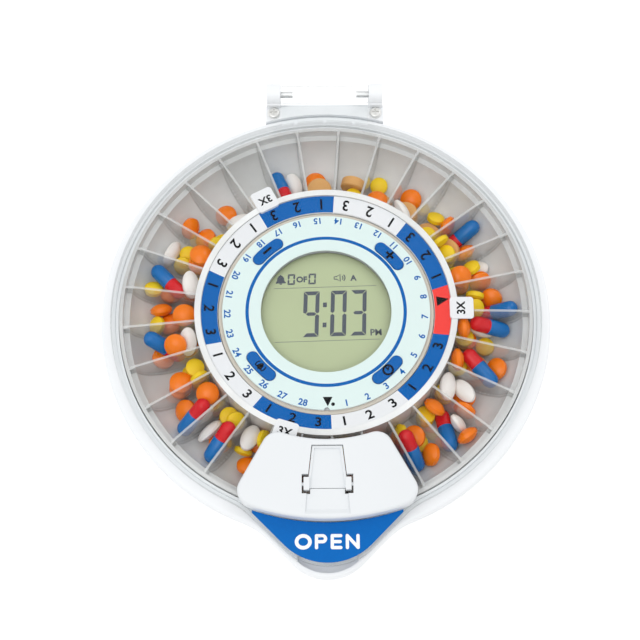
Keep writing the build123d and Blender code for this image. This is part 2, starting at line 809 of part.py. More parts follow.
def pill_tray():
    """Clear tray: floor, curved outer wall, step and rim."""
    wall_top = divider_top - wall_drop
    under = curve_point(1, tray_wall)
    outline = [
        Line((hub_radius, tray_bottom), (floor_flat_radius, tray_bottom)),
        ThreePointArc((floor_flat_radius, tray_bottom), curve_point(0.5, tray_wall), under),
        Line(under, (tray_radius, under[1])),
        Line((tray_radius, under[1]), (tray_radius, wall_top)),
        Line((tray_radius, wall_top), (tray_radius - tray_wall, wall_top)),
        Line((tray_radius - tray_wall, wall_top), (tray_radius - tray_wall, step_height)),
        Line((tray_radius - tray_wall, step_height), (step_radius, step_height)),
        ThreePointArc((step_radius, step_height), curve_point(0.5), (floor_flat_radius, tray_floor)),
        Line((floor_flat_radius, tray_floor), (hub_radius, tray_floor)),
        Line((hub_radius, tray_floor), (hub_radius, tray_bottom)),
    ]
    return turned(make_face(outline))


def tray_hub():
    """Hub of the tray: inner wall with the toothed ring, cone for the dose ring, rim and outer wall."""
    root = gear_pitch_radius + tooth_depth * module
    inner = root + tray_wall
    web = cone_wall
    side = hub_radius - tray_wall
    section = Polygon(
        (side, tray_bottom), (side, seat_height(seat_outer) - web),
        (inner, seat_height(inner) - web), (inner, gear_bottom),
        (root, gear_bottom), (root, seat_height(root) - web),
        (seat_inner, seat_height(seat_inner) - web), (seat_inner, seat_bottom),
        (seat_outer, seat_height(seat_outer)), (seat_outer, hub_rim),
        (hub_radius, hub_rim), (hub_radius, tray_bottom), align=None)
    spaces = toothed_wheel(ring_teeth, gear_pitch_radius, gear_pitch_radius - ring_tooth_height * module, root,
                           1 + backlash, pinion_angle)
    teeth = slab(Circle(root + 0.05) - spaces, gear_bottom, gear_bottom + gear_width + 2 * pinion_lift)
    return turned(section) + teeth


def tray_dividers():
    """The partitions between the compartments, shaped to the floor's curve."""
    low = tray_floor + divider_fit
    step = step_height + divider_fit
    end = tray_radius - tray_wall - divider_fit
    outline = [
        Line((hub_radius, low), (floor_flat_radius, low)),
        ThreePointArc((floor_flat_radius, low), curve_point(0.5, -divider_fit), (step_radius, step)),
        Line((step_radius, step), (end, step)),
        Line((end, step), (end, divider_top - wall_drop)),
        Line((end, divider_top - wall_drop), (end - divider_corner, divider_top)),
        Line((end - divider_corner, divider_top), (hub_radius, divider_top)),
        Line((hub_radius, divider_top), (hub_radius, low)),
    ]
    plate = extrude(Plane.XZ * make_face(outline), divider_thickness / 2, both=True)
    angles = [compartment_phase + i * compartment_pitch for i in range(compartments)]
    return Compound(children=[Rot(0, 0, a) * plate for a in angles])


def dose_ring():
    """Printed ring that drops on the hub's cone, with three tabs over the hub's rim."""
    inner = seat_inner + dose_ring_gap
    outer = seat_outer - 2 * dose_ring_gap
    section = Polygon(
        (inner, seat_height(inner)), (outer, seat_height(outer)),
        (outer, seat_height(outer) + dose_ring_thickness),
        (inner, seat_height(inner) + dose_ring_thickness), align=None)
    body = turned(section)
    half = dose_tab_width / 2
    root = outer - dose_tab_root
    end = hub_radius + dose_tab_reach
    low = hub_rim + running_gap
    top = low + dose_tab_thickness
    label = Pos((root + end) / 2, 0) * RectangleRounded(end - root, 2 * half, dose_tab_corner)
    tab = slab(label, low, top) + slab(label & Circle(outer - 2 * dose_ring_gap), seat_height(outer) + running_gap, top)
    for angle in dose_tab_angles:
        body += Rot(0, 0, angle) * tab
    return body


# ---- Lid ----
def cap(edge_radius, flat_radius, bottom, edge, top):
    """Round cap with a bevelled shoulder."""
    section = Polygon((0, bottom), (edge_radius, bottom), (edge_radius, edge), (flat_radius, top), (0, top),
                      align=None)
    return turned(section)


def door_outline():
    """Outline of the white door: hollow towards the dial, round outside, with rounded corners."""
    near = Vector(cover_inner_half, math.sqrt(cover_inner**2 - cover_inner_half**2))
    side = Vector(cover_side_slope, 1).normalized()
    travel = math.sqrt(near.dot(side) ** 2 + cover_outer**2 - cover_inner**2) - near.dot(side)
    far = near + side * travel
    edges = [
        ThreePointArc((-near.X, -near.Y), (0, -cover_inner), (near.X, -near.Y)),
        Line((near.X, -near.Y), (far.X, -far.Y)),
        ThreePointArc((far.X, -far.Y), (0, -cover_outer), (-far.X, -far.Y)),
        Line((-far.X, -far.Y), (-near.X, -near.Y)),
    ]
    face = make_face(edges)
    return fillet(face.vertices(), cover_corner)


def sector(y0, y1, half0, half1):
    """Four-sided shape that widens away from the tray's axis, as one compartment does."""
    return Polygon((-half1, -y1), (half1, -y1), (half0, -y0), (-half0, -y0), align=None)


def ear_room():
    """Space round both ears of the flap, as far as they swing."""
    half = flap_half_end + flap_gap + ear_width + ear_gap
    inner = flap_half_end - 2 * flap_gap - flap_rail
    reach = ear_length / 2 + ear_gap
    return Pos(0, -flap_hinge) * (Rectangle(2 * half, 2 * reach) - Rectangle(2 * inner, 2 * reach))


def window_shape(grow):
    return sector(flap_start - grow, flap_end, flap_half_start + grow, flap_half_end + grow)


def lid_shell():
    """Clear lid: flat top with a bevelled shoulder, skirt, front tab, hinge arm and barrel, striker."""
    flat = lid_radius - bevel_width
    body = slab(lid_outline(0), skirt_foot, lid_edge) + cap(lid_radius, flat, skirt_foot, lid_edge, lid_top)
    room = slab(lid_outline(skirt_wall), skirt_foot - 1, lid_edge - lid_wall)
    room += cap(lid_radius - skirt_wall, flat - bevel_inset, skirt_foot, lid_edge - lid_wall, lid_under)
    body -= room
    body -= block(-finger_width / 2, finger_width / 2, -tab_tip - 1, -finger_back,
                  skirt_foot - 1, skirt_foot + finger_relief)
    arm_half = barrel_length / 2 - arm_inset
    arm_top = hinge_z + arm_thickness / 2
    arm = block(-arm_half, arm_half, lid_radius - barrel_radius, hinge_y, arm_top - arm_thickness, arm_top)
    for x in (-rib_pitch, 0, rib_pitch):
        arm += block(x - rib_thickness / 2, x + rib_thickness / 2, lid_radius - barrel_radius, hinge_y,
                     arm_top, arm_top + rib_height)
    body += arm - room - cap(lid_radius - 0.5, flat, 0, lid_edge - 0.5, lid_top - 0.5)
    body += rod_x(barrel_radius, -barrel_length / 2, barrel_length / 2, hinge_y, hinge_z)
    for side in (-1, 1):
        end = side * (barrel_length / 2 + 0.01)
        body -= rod_x(hinge_pin_radius + running_gap, *sorted((end, end - side * (hinge_pin_grip + 0.5))),
                      hinge_y, hinge_z)
    # striker: a hook that hangs through the base's ledge, open towards +X for the lock's cam
    y0 = -striker_y - striker_thickness / 2
    y1 = -striker_y + striker_thickness / 2
    cam_under = lock_z - cam_width / 2
    foot_top = cam_under - striker_play
    foot = foot_top - striker_foot
    body += block(striker_inner + striker_bar, striker_outer, y0, y1, foot, lid_edge - lid_wall + 0.5)
    body += block(striker_inner, striker_outer, y0, y1, foot, foot_top)
    body -= slab(window_shape(-window_margin), lid_under - 1, lid_top + 1)
    body -= slab(ear_room(), lid_under - 1, lid_top + 1)
    for x, y in stake_places:
        body -= Pos(x, y) * disc(stake_radius + running_gap, lid_under - 1, lid_top + 1)
    return body


def door_cover():
    """White cover over the lid's window, with the flap's opening, its bearings and the ramp in front."""
    lid_surface = cap(lid_radius, lid_radius - bevel_width, 0, lid_edge, lid_top)
    body = slab(door_outline(), lid_edge - 0.4, cover_top)
    body = fillet(body.edges().group_by(Axis.Z)[-1], cover_round)
    body -= lid_surface
    body -= slab(lid_outline(-1), 0, lid_edge)
    body -= slab(sector(flap_start, flap_end, flap_half_start, flap_half_end), lid_top - 1, cover_top + 1)
    body -= slab(ear_room(), lid_top - 1, cover_top + 1)
    pin_half = flap_half_end + 2 * flap_gap + ear_width + flap_pin_length
    body -= rod_x(flap_pin_radius + running_gap, -pin_half, pin_half, -flap_hinge, flap_axis_z)
    ramp_top = sector(flap_end, ramp_end, flap_half_end, ramp_half_end)
    ramp_low = sector(flap_end, ramp_end - ramp_draft, flap_half_end - ramp_draft / 5, ramp_half_end - ramp_draft / 3)
    body -= loft([Pos(0, 0, cover_top - ramp_depth) * ramp_low, Pos(0, 0, cover_top) * ramp_top], ruled=True)
    for x, y in stake_places:
        body += Pos(x, y) * disc(stake_radius, lid_under, lid_top)
        body += Pos(x, y) * disc(stake_radius + stake_head, lid_under - lid_rise / 2, lid_under)
    return body


def gravity_flap():
    """Flap that falls open when the dispenser is turned over: a shallow chute on two pins."""
    plate = sector(flap_start + flap_gap, flap_end - flap_gap, flap_half_start - flap_gap, flap_half_end - flap_gap)
    bottom = lid_top + running_gap
    rail_bottom = bottom + flap_thickness
    body = slab(plate, bottom, rail_bottom)
    inner = sector(flap_start + flap_gap + flap_rail, flap_end + 1, flap_half_start - flap_gap - flap_rail,
                   flap_half_end - flap_gap - flap_rail)
    body += slab(plate - inner, rail_bottom, rail_bottom + flap_rail_height)
    ear_low = flap_axis_z - ear_height / 2
    lift = ear_height / 5
    for side in (-1, 1):
        x0 = side * (flap_half_end - flap_gap - flap_rail)
        x1 = side * (flap_half_end + flap_gap + ear_width)
        body += rod_x(ear_height / 2, *sorted((x0, x1)), -flap_hinge, flap_axis_z)
        body += block(*sorted((x0, x1)), -flap_hinge - ear_length * 0.41, -flap_hinge + ear_length * 0.41,
                      ear_low + lift, ear_low + ear_height + lift)
        body += rod_x(flap_pin_radius, *sorted((x1 - side * flap_gap, x1 + side * flap_pin_length)),
                      -flap_hinge, flap_axis_z)
    return body


def open_label():
    """Printed label on the opening tab, with a hollow inner edge along the door."""
    shape = lid_outline(label_inset) - Circle(lid_radius + label_gap)
    front = shape & (Pos(0, -base_tip) * Rectangle(2 * label_half, base_tip))
    return slab(front, lid_edge, lid_edge + label_thickness)


def hinge_bracket():
    """White bracket on the base's tongue with the two posts that hold the hinge pins."""
    plate = slab(Pos(0, tongue_back / 2) * Rectangle(2 * tongue_half, tongue_back) - Circle(base_radius + bracket_gap),
                 tongue_top, bracket_plate_top)
    body = plate + block(-tongue_half, tongue_half, tongue_back, tongue_back + 2.0, tongue_bottom, bracket_plate_top - 2.0)
    post = Plane.YZ * (Pos(hinge_y, hinge_z) * Circle(post_radius) + Polygon(
        (tongue_back, tongue_bottom), (hinge_y + 2.0, tongue_bottom + 1.0), (hinge_y + post_radius, hinge_z),
        (hinge_y, hinge_z + post_radius), (tongue_back - 1.0, hinge_z), (tongue_back - 1.0, tongue_top),
        (tongue_back, tongue_top), align=None))
    inner = barrel_length / 2 + post_gap
    for side in (-1, 1):
        body += Pos(side * (inner + post_width / 2), 0, 0) * extrude(post, post_width / 2, both=True)
    for side in (-1, 1):
        pin_end = inner + post_width - hinge_pin_cover
        body -= rod_x(hinge_pin_radius, *sorted((side * (inner - 1), side * pin_end)), hinge_y, hinge_z)
    for x, y in hinge_screw_places:
        body -= Pos(x, y) * disc(screw_radius + screw_gap, tongue_top - 1, bracket_plate_top + 1)
    return body


def hinge_pins():
    """Two steel pins, pressed into the posts and free in the lid's barrel."""
    inner = barrel_length / 2 - hinge_pin_grip
    outer = barrel_length / 2 + post_gap + post_width - hinge_pin_cover
    pins = [rod_x(hinge_pin_radius, *sorted((s * inner, s * outer)), hinge_y, hinge_z) for s in (-1, 1)]
    return Compound(children=pins)


def hinge_screws():
    """Two screws that hold the bracket on the tongue."""
    turned_over = Pos(0, 0, bracket_plate_top + screw_head_height) * Rot(180, 0, 0) * pan_screw(screw_length)
    return Compound(children=[Pos(x, y) * turned_over for x, y in hinge_screw_places])


# ---- Lock ----
def lock_body():
    """Housing of the key lock, let into the front lip."""
    body = rod_y(lock_radius, -lock_face + lock_flange_thickness, -lock_face + lock_length, 0, lock_z)
    body += rod_y(lock_flange, -lock_face, -lock_face + lock_flange_thickness, 0, lock_z)
    return body - rod_y(plug_radius + running_gap, -lock_face - 1, -lock_face + lock_length + 1, 0, lock_z)


def lock_plug():
    """Plug with the keyway in front and the cam behind, upright when unlocked."""
    back = -striker_y + cam_thickness / 2 + cam_gap
    front = back - cam_thickness
    body = rod_y(plug_radius, -lock_face, front, 0, lock_z)
    cam = Pos(0, 0, lock_z) * block(-cam_width / 2, cam_width / 2, front, back, 0, cam_reach)
    body += cam + rod_y(cam_width, front, back, 0, lock_z)
    keyway = Pos(0, -lock_face + keyway_depth / 2 - 0.5, lock_z)
    return body - keyway * Box(keyway_width, keyway_depth + 1, keyway_height)


SUBPARTS = {
    "base_bowl": base_bowl,
    "foot_ring": foot_ring,
    "battery_box": battery_box,
    "aa_cells": aa_cells,
    "battery_contacts": battery_contacts,
    "battery_door": battery_door,
    "deck": deck,
    "case_screws": case_screws,
    "gearbox": gearbox,
    "drive_motor": drive_motor,
    "drive_pinion": drive_pinion,
    "control_housing": control_housing,
    "faceplate": faceplate,
    "dial_overlay": dial_overlay,
    "display_lens": display_lens,
    "lcd_panel": lcd_panel,
    "lcd_frame": lcd_frame,
    "circuit_board": circuit_board,
    "key_switches": key_switches,
    "buzzer": buzzer,
    "tilt_switch": tilt_switch,
    "pill_tray": pill_tray,
    "tray_hub": tray_hub,
    "tray_dividers": tray_dividers,
    "dose_ring": dose_ring,
    "lid_shell": lid_shell,
    "door_cover": door_cover,
    "gravity_flap": gravity_flap,
    "open_label": open_label,
    "hinge_bracket": hinge_bracket,
    "hinge_pins": hinge_pins,
    "hinge_screws": hinge_screws,
    "lock_body": lock_body,
    "lock_plug": lock_plug,
}
for key in button_angles:
    SUBPARTS["button_" + key] = lambda key=key: button(key)

if __name__ == "__main__":
    os.makedirs("parts", exist_ok=True)
    for name, make in SUBPARTS.items():
        export_step(make(), "parts/" + name + ".step")
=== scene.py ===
"""Looks of the automatic pill dispenser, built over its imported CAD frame.

Run as a script it registers its classes, dresses every piece and leaves the finished scene.
"""

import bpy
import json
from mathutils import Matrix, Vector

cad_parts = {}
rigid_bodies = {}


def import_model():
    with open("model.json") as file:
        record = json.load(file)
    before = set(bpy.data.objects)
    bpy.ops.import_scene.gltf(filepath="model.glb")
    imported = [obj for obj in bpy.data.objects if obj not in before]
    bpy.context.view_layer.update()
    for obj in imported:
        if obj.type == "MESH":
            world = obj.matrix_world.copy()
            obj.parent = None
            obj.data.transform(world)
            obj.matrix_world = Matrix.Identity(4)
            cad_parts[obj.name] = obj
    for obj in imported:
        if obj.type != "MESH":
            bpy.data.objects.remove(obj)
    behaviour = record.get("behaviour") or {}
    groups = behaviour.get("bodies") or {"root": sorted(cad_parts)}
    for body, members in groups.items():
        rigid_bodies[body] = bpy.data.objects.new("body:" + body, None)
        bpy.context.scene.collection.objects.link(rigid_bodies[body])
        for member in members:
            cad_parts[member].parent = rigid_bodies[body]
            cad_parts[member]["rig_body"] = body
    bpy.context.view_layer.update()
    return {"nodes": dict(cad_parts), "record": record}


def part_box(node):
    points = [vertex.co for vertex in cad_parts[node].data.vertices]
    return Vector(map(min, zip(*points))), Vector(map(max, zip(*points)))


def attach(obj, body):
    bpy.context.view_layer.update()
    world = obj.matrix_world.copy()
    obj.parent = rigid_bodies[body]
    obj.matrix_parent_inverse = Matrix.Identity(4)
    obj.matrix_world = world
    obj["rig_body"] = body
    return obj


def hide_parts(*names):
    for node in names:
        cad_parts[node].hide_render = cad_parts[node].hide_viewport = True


bl_info = {
    "name": "Automatic Pill Dispenser",
    "version": (1, 0, 0),
    "blender": (4, 5, 0),
    "location": "View3D > Sidebar > Dispenser",
    "description": "Dresses a round pill dispenser with a turning tray, a clear lid and a central display",
    "category": "Object",
}

import json
from math import atan2, cos, degrees, pi, radians, sin, sqrt, tan

import bmesh
import bpy
from bpy.props import FloatProperty, FloatVectorProperty, IntProperty, PointerProperty
from mathutils import Matrix, Vector

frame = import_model()
STANDING_STILL = Matrix.Identity(4)
CAPITAL_SHARE = 0.72  # height of a capital letter as a share of the letter size
WELD = 2e-6  # vertices of the CAD meshes nearer than this are one


def top(node):
    """Height of a CAD node's highest point, in metres."""
    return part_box(node)[1].z


def radii(node):
    """Smallest and greatest distance of a CAD node from the Z axis, in metres."""
    found = [sqrt(v.co.x ** 2 + v.co.y ** 2) for v in frame["nodes"][node].data.vertices]
    return min(found), max(found)


def islands(node):
    """Lowest and highest corner of each separate solid of a CAD node."""
    bm = bmesh.new()
    bm.from_mesh(frame["nodes"][node].data)
    bmesh.ops.remove_doubles(bm, verts=bm.verts, dist=WELD)
    left, found = set(bm.verts), []
    while left:
        open_ends, group = [left.pop()], []
        while open_ends:
            vert = open_ends.pop()
            group.append(tuple(vert.co))
            for edge in vert.link_edges:
                other = edge.other_vert(vert)
                if other in left:
                    left.remove(other)
                    open_ends.append(other)
        found.append((tuple(map(min, zip(*group))), tuple(map(max, zip(*group)))))
    bm.free()
    return sorted(found)


# ---------------------------------------------------------------------------
# Sizes and colours that a user would change
# ---------------------------------------------------------------------------


def length(name, description, default):
    return FloatProperty(
        name=name, description=description, default=default, min=0.0, subtype="DISTANCE", unit="LENGTH"
    )


def turn(name, description, default):
    return FloatProperty(
        name=name, description=description, default=radians(default), subtype="ANGLE", unit="ROTATION"
    )


def colour(name, description, default):
    return FloatVectorProperty(
        name=name, description=description, default=default, size=3, min=0.0, max=1.0, subtype="COLOR"
    )


def share(name, description, default):
    return FloatProperty(
        name=name, description=description, default=default, min=0.0, max=1.0, subtype="FACTOR"
    )


class DispenserPlastics(bpy.types.PropertyGroup):
    """Colours and clearness of the moulded parts."""

    white: colour("White mouldings", "Colour of the base, bracket and cover", (0.87, 0.89, 0.91))
    # Kept darker than the white mouldings: painted shade that offsets the strong overhead light on the
    # cover.
    cover: colour("Cover", "Colour of the dispensing door's cover and flap", (0.76, 0.785, 0.805))
    lid_tint: colour("Lid tint", "Colour that the clear lid gives to light", (0.99, 0.995, 0.995))
    tray_tint: colour("Tray tint", "Colour that the clear tray gives to light", (0.98, 0.98, 0.975))
    tray_veil: share("Tray haze", "How milky the tray's moulding is", 0.62)
    divider_veil: share("Divider haze", "How milky the dividers are", 0.11)
    grain: length("Moulding grain", "Size of the fine texture on the white parts", 0.0006)


class DispenserPrint(bpy.types.PropertyGroup):
    """Printed dial, dose ring and label."""

    mint: colour("Panel", "Colour of the printed panel", (0.80, 0.93, 0.905))
    blue: colour("Blue", "Blue of the ring, keys, sectors and label", (0.0, 0.128, 0.465))
    red: colour("Red", "Red of the empty sector", (1.0, 0.065, 0.055))
    ring_white: colour("Ring white", "White sectors of the dose ring", (0.90, 0.90, 0.92))
    seal: colour("Dust seal", "Colour of the ring between the panel and the dose ring", (0.66, 0.60, 0.52))
    ink: colour("Black ink", "Ink of the numbers and symbols", (0.006, 0.006, 0.008))
    ring_inner: length("Blue ring, inside", "Inner radius of the blue ring round the window", 0.0343)
    ring_outer: length("Blue ring, outside", "Outer radius of the blue ring round the window", 0.0358)
    number_radius: length("Day numbers", "Radius on which the day numbers stand", 0.0438)
    number_height: length("Day number height", "Height of the day numbers", 0.0029)
    dose_radius: length("Dose numbers", "Radius on which the dose numbers stand", 0.0518)
    dose_height: length("Dose number height", "Height of the dose numbers", 0.0047)
    ink_height: length("Ink height", "How far print stands off its surface", 0.00005)
    dial_turn: turn("Pointer turn", "How far the dial's pointer is turned from the front", 0.5)
    number_turn: turn("Number turn", "How far the day numbers are turned from the front", -1.2)


class DispenserDisplay(bpy.types.PropertyGroup):
    """Liquid crystal display."""

    glass: colour("Display glass", "Background of the display", (0.65, 0.72, 0.43))
    segment: colour("Segments", "Colour of the lit segments", (0.135, 0.15, 0.185))
    digit_height: length("Digit height", "Height of the time digits", 0.0217)
    digit_width: length("Digit width", "Width of the time digits", 0.0071)
    stroke: length("Segment width", "Width of a time digit's segments", 0.00175)
    slant: turn("Slant", "Slant of the digits", 3.5)
    tilt: turn("Tilt", "Turn of the display in its window", 1.6)


class DispenserTray(bpy.types.PropertyGroup):
    """Turning tray and the tablets in it."""

    compartments: IntProperty(
        name="Compartments", description="Compartments round the tray", default=29, min=3, max=60
    )
    first_divider: turn("First divider", "Direction of the first divider", 11.4)
    divider_thickness: length("Divider thickness", "Thickness of a divider", 0.0012)
    seam: length("Seam radius", "Rounding where a divider meets the floor", 0.00045)
    tablet_diameter: length("Small tablet", "Diameter of the small round tablets", 0.0082)
    large_tablet_diameter: length("Large tablet", "Diameter of the large speckled tablets", 0.0116)
    dragee_diameter: length("Coated tablet", "Diameter of the glossy coated tablets", 0.0100)
    caplet_length: length("Caplet length", "Length of the oval white tablets", 0.0128)
    capsule_length: length("Capsule length", "Length of the two-coloured capsules", 0.0208)
    capsule_diameter: length("Capsule diameter", "Diameter of the two-coloured capsules", 0.0071)
    yellow: colour("Yellow tablets", "Colour of the small tablets", (1.0, 0.66, 0.0))
    orange: colour("Orange tablets", "Colour of the coated tablets", (1.0, 0.21, 0.0))
    cream: colour("White tablets", "Colour of the oval tablets", (0.93, 0.88, 0.84))
    tan: colour("Tan tablets", "Colour of the large tablets", (0.76, 0.40, 0.135))
    capsule_red: colour("Capsule body", "Red half of the capsules", (0.70, 0.005, 0.012))
    capsule_blue: colour("Capsule cap", "Blue half of the capsules", (0.0, 0.15, 0.47))


class DispenserStage(bpy.types.PropertyGroup):
    """Camera, floor and light."""

    elevation: turn("Elevation", "Height of the camera over the horizon", 68.46)
    azimuth: turn("Azimuth", "Camera's turn to the right of the centre line", -0.58)
    roll: turn("Roll", "Turn of the camera about its view", 0.19)
    distance: length("Distance", "Camera's distance from the dial", 0.5582)
    lens: FloatProperty(
        name="Lens", description="Focal length for a 36 mm sensor, in millimetres", default=70.82, min=1.0
    )
    world_strength: FloatProperty(
        name="Surround", description="Strength of the white surround", default=0.86, min=0.0
    )
    lamp_power: FloatProperty(
        name="Lamp power",
        description="Power of the soft lamp overhead",
        default=2.9,
        min=0.0,
        subtype="POWER",
        unit="POWER",
    )
    floor_lift: share("Floor lift", "White that the camera sees on the floor beyond its light", 0.30)


# ---------------------------------------------------------------------------
# Helpers for meshes
# ---------------------------------------------------------------------------


def plain_object(name, mesh):
    obj = bpy.data.objects.new(name, mesh)
    bpy.context.scene.collection.objects.link(obj)
    return obj


def from_bmesh(name, bm, normals=True):
    """Turns a bmesh into an object at the origin."""
    bmesh.ops.remove_doubles(bm, verts=bm.verts, dist=1e-7)
    if normals:
        bmesh.ops.recalc_face_normals(bm, faces=bm.faces)
    mesh = bpy.data.meshes.new(name)
    bm.to_mesh(mesh)
    bm.free()
    return plain_object(name, mesh)


def smooth_by_angle(mesh, limit=30.0):
    """Smooth faces with sharp edges where the surface turns by more than the limit."""
    bm = bmesh.new()
    bm.from_mesh(mesh)
    for face in bm.faces:
        face.smooth = True
    for edge in bm.edges:
        edge.smooth = len(edge.link_faces) == 2 and edge.calc_face_angle(0.0) < radians(limit)
    bm.to_mesh(mesh)
    bm.free()


def finish_piece(obj, body, slot, *materials):
    """Paints a new piece, by the material numbers of its faces, and fixes it to its body."""
    numbers = [face.material_index for face in obj.data.polygons]
    obj.data.materials.clear()
    for material in materials:
        obj.data.materials.append(material)
    if len(materials) > 1:
        obj.data.polygons.foreach_set("material_index", numbers)
    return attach(obj, body)


def bake_modifiers(obj):
    """Replaces an object's mesh by what its modifiers give, and takes them off."""
    graph = bpy.context.evaluated_depsgraph_get()
    mesh = bpy.data.meshes.new_from_object(
        obj.evaluated_get(graph), preserve_all_data_layers=True, depsgraph=graph
    )
    obj.modifiers.clear()
    old, obj.data = obj.data, mesh
    mesh.name = obj.name
    if old.users == 0:
        bpy.data.meshes.remove(old)
    return obj


def moulded(node, material):
    """Finished copy of a CAD node: joined faces and smooth curves."""
    source = frame["nodes"][node]
    bm = bmesh.new()
    bm.from_mesh(source.data)
    bmesh.ops.remove_doubles(bm, verts=bm.verts, dist=WELD)
    bmesh.ops.dissolve_degenerate(bm, edges=bm.edges, dist=1e-7)
    mesh = bpy.data.meshes.new(node + "_moulded")
    bm.to_mesh(mesh)
    bm.free()
    obj = plain_object(node + "_moulded", mesh)
    smooth_by_angle(mesh)
    slot = next(part["material_slot"] for part in frame["record"]["subparts"] if part["node"] == node)
    finish_piece(obj, source["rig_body"], slot, material)
    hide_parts(node)
    return obj


def lathe(bm, profile, steps, place=STANDING_STILL, material=0, closed=False):
    """Revolves a profile of (radius, height) about Z. An open profile starts and ends on the axis."""
    rings = []
    for radius, height in profile:
        if radius < 1e-9:
            rings.append([bm.verts.new(place @ Vector((0, 0, height)))])
        else:
            angles = [2 * pi * i / steps for i in range(steps)]
            corners = [(radius * cos(a), radius * sin(a), height) for a in angles]
            rings.append([bm.verts.new(place @ Vector(corner)) for corner in corners])
    pairs = list(zip(rings, rings[1:])) + ([(rings[-1], rings[0])] if closed else [])
    for low, high in pairs:
        for i in range(steps):
            j = (i + 1) % steps
            corners = [low[i % len(low)], low[j % len(low)], high[j % len(high)], high[i % len(high)]]
            unique = list(dict.fromkeys(corners))
            if len(unique) > 2:
                face = bm.faces.new(unique)
                face.smooth = True
                face.material_index = material


def prism(bm, outline, low, high, place=STANDING_STILL):
    """Extrudes a flat outline between two heights."""
    bottom = [bm.verts.new(place @ Vector((x, y, low))) for x, y in outline]
    upper = [bm.verts.new(place @ Vector((x, y, high))) for x, y in outline]
    bm.faces.new(bottom[::-1])
    bm.faces.new(upper)
    count = len(outline)
    for i in range(count):
        j = (i + 1) % count
        bm.faces.new((bottom[i], bottom[j], upper[j], upper[i]))


def block(half_width, half_height):
    """Corners of a rectangle round the origin."""
    return [
        (-half_width, -half_height),
        (half_width, -half_height),
        (half_width, half_height),
        (-half_width, half_height),
    ]


def arrowhead(half_width, half_height):
    """Corners of a triangle that points away from the dial's centre."""
    return [(0, -half_height), (half_width, half_height), (-half_width, half_height)]


def arc_points(cx, cy, radius, start, end, steps):
    """Points along an arc about (cx, cy), between two angles in degrees."""
    angles = [radians(start + (end - start) * i / steps) for i in range(steps + 1)]
    return [(cx + radius * cos(angle), cy + radius * sin(angle)) for angle in angles]


def stroke(points, width, closed=False, steps=8):
    """Outline of a pen stroke of even width with round ends, or two outlines where it is closed."""
    half = width / 2
    count = len(points)
    left, right = [], []
    for i, (x, y) in enumerate(points):
        ahead = points[(i + 1) % count] if closed or i + 1 < count else points[i]
        behind = points[i - 1] if closed or i else points[i]
        dx, dy = ahead[0] - behind[0], ahead[1] - behind[1]
        size = sqrt(dx * dx + dy * dy) or 1.0
        nx, ny = -dy / size * half, dx / size * half
        left.append((x + nx, y + ny))
        right.append((x - nx, y - ny))
    if closed:
        return left, right
    (x0, y0), (x1, y1) = points[0], points[-1]
    start = degrees(atan2(left[0][1] - y0, left[0][0] - x0))
    end = degrees(atan2(right[-1][1] - y1, right[-1][0] - x1))
    cap_end = arc_points(x1, y1, half, end, end + 180, steps)[1:-1]
    cap_start = arc_points(x0, y0, half, start, start + 180, steps)[1:-1]
    return right + cap_end + left[::-1] + cap_start


def closed_stroke(bm, points, width, low, high, place=STANDING_STILL):
    """A ring-shaped pen stroke as a solid."""
    outer, inner = stroke(points, width, closed=True)
    count = len(points)
    rings = []
    for line, z in ((outer, low), (outer, high), (inner, high), (inner, low)):
        rings.append([bm.verts.new(place @ Vector((x, y, z))) for x, y in line])
    for a, b in zip(rings, rings[1:] + rings[:1]):
        for i in range(count):
            j = (i + 1) % count
            bm.faces.new((a[i], a[j], b[j], b[i]))


def upright(angle, radius, height, slope=0.0):
    """Place on a dial: X along the circle, Y towards the centre and Z off the surface."""
    c, s = cos(angle), sin(angle)
    right = Vector((-s, c, 0))
    up = Vector((-c * cos(slope), -s * cos(slope), -sin(slope)))
    out = right.cross(up)
    matrix = Matrix((right, up, out)).transposed().to_4x4()
    matrix.translation = Vector((radius * c, radius * s, height))
    return matrix


def add_text(bm, words, height, place, thickness, weight):
    """Adds a word as raised mesh, centred on the place, with strokes made bolder by the weight."""
    curve = bpy.data.curves.new("words", "FONT")
    curve.body, curve.size = words, height / CAPITAL_SHARE
    curve.align_x, curve.align_y = "CENTER", "CENTER"
    curve.extrude, curve.offset = thickness / 2, weight
    curve.resolution_u = 6
    holder = plain_object("words", curve)
    graph = bpy.context.evaluated_depsgraph_get()
    mesh = bpy.data.meshes.new_from_object(holder.evaluated_get(graph), depsgraph=graph)
    xs = [v.co.x for v in mesh.vertices]
    ys = [v.co.y for v in mesh.vertices]
    centre = Vector(((min(xs) + max(xs)) / 2, (min(ys) + max(ys)) / 2, 0))
    mesh.transform(place @ Matrix.Translation(-centre))
    bm.from_mesh(mesh)
    bpy.data.objects.remove(holder)
    bpy.data.curves.remove(curve)
    bpy.data.meshes.remove(mesh)


# ---------------------------------------------------------------------------
# Helpers for materials
# ---------------------------------------------------------------------------


def socket_of(node, key):
    """Input of a node by its name with underscores, or by its number as n0, n1 and so on."""
    if key[0] == "n" and key[1:].isdigit():
        return node.inputs[int(key[1:])]
    return node.inputs[key.replace("_", " ")]


def connect(tree, socket, value):
    """Links a socket to another one, or gives it a plain value."""
    if isinstance(value, bpy.types.NodeSocket):
        tree.links.new(value, socket)
    else:
        socket.default_value = value


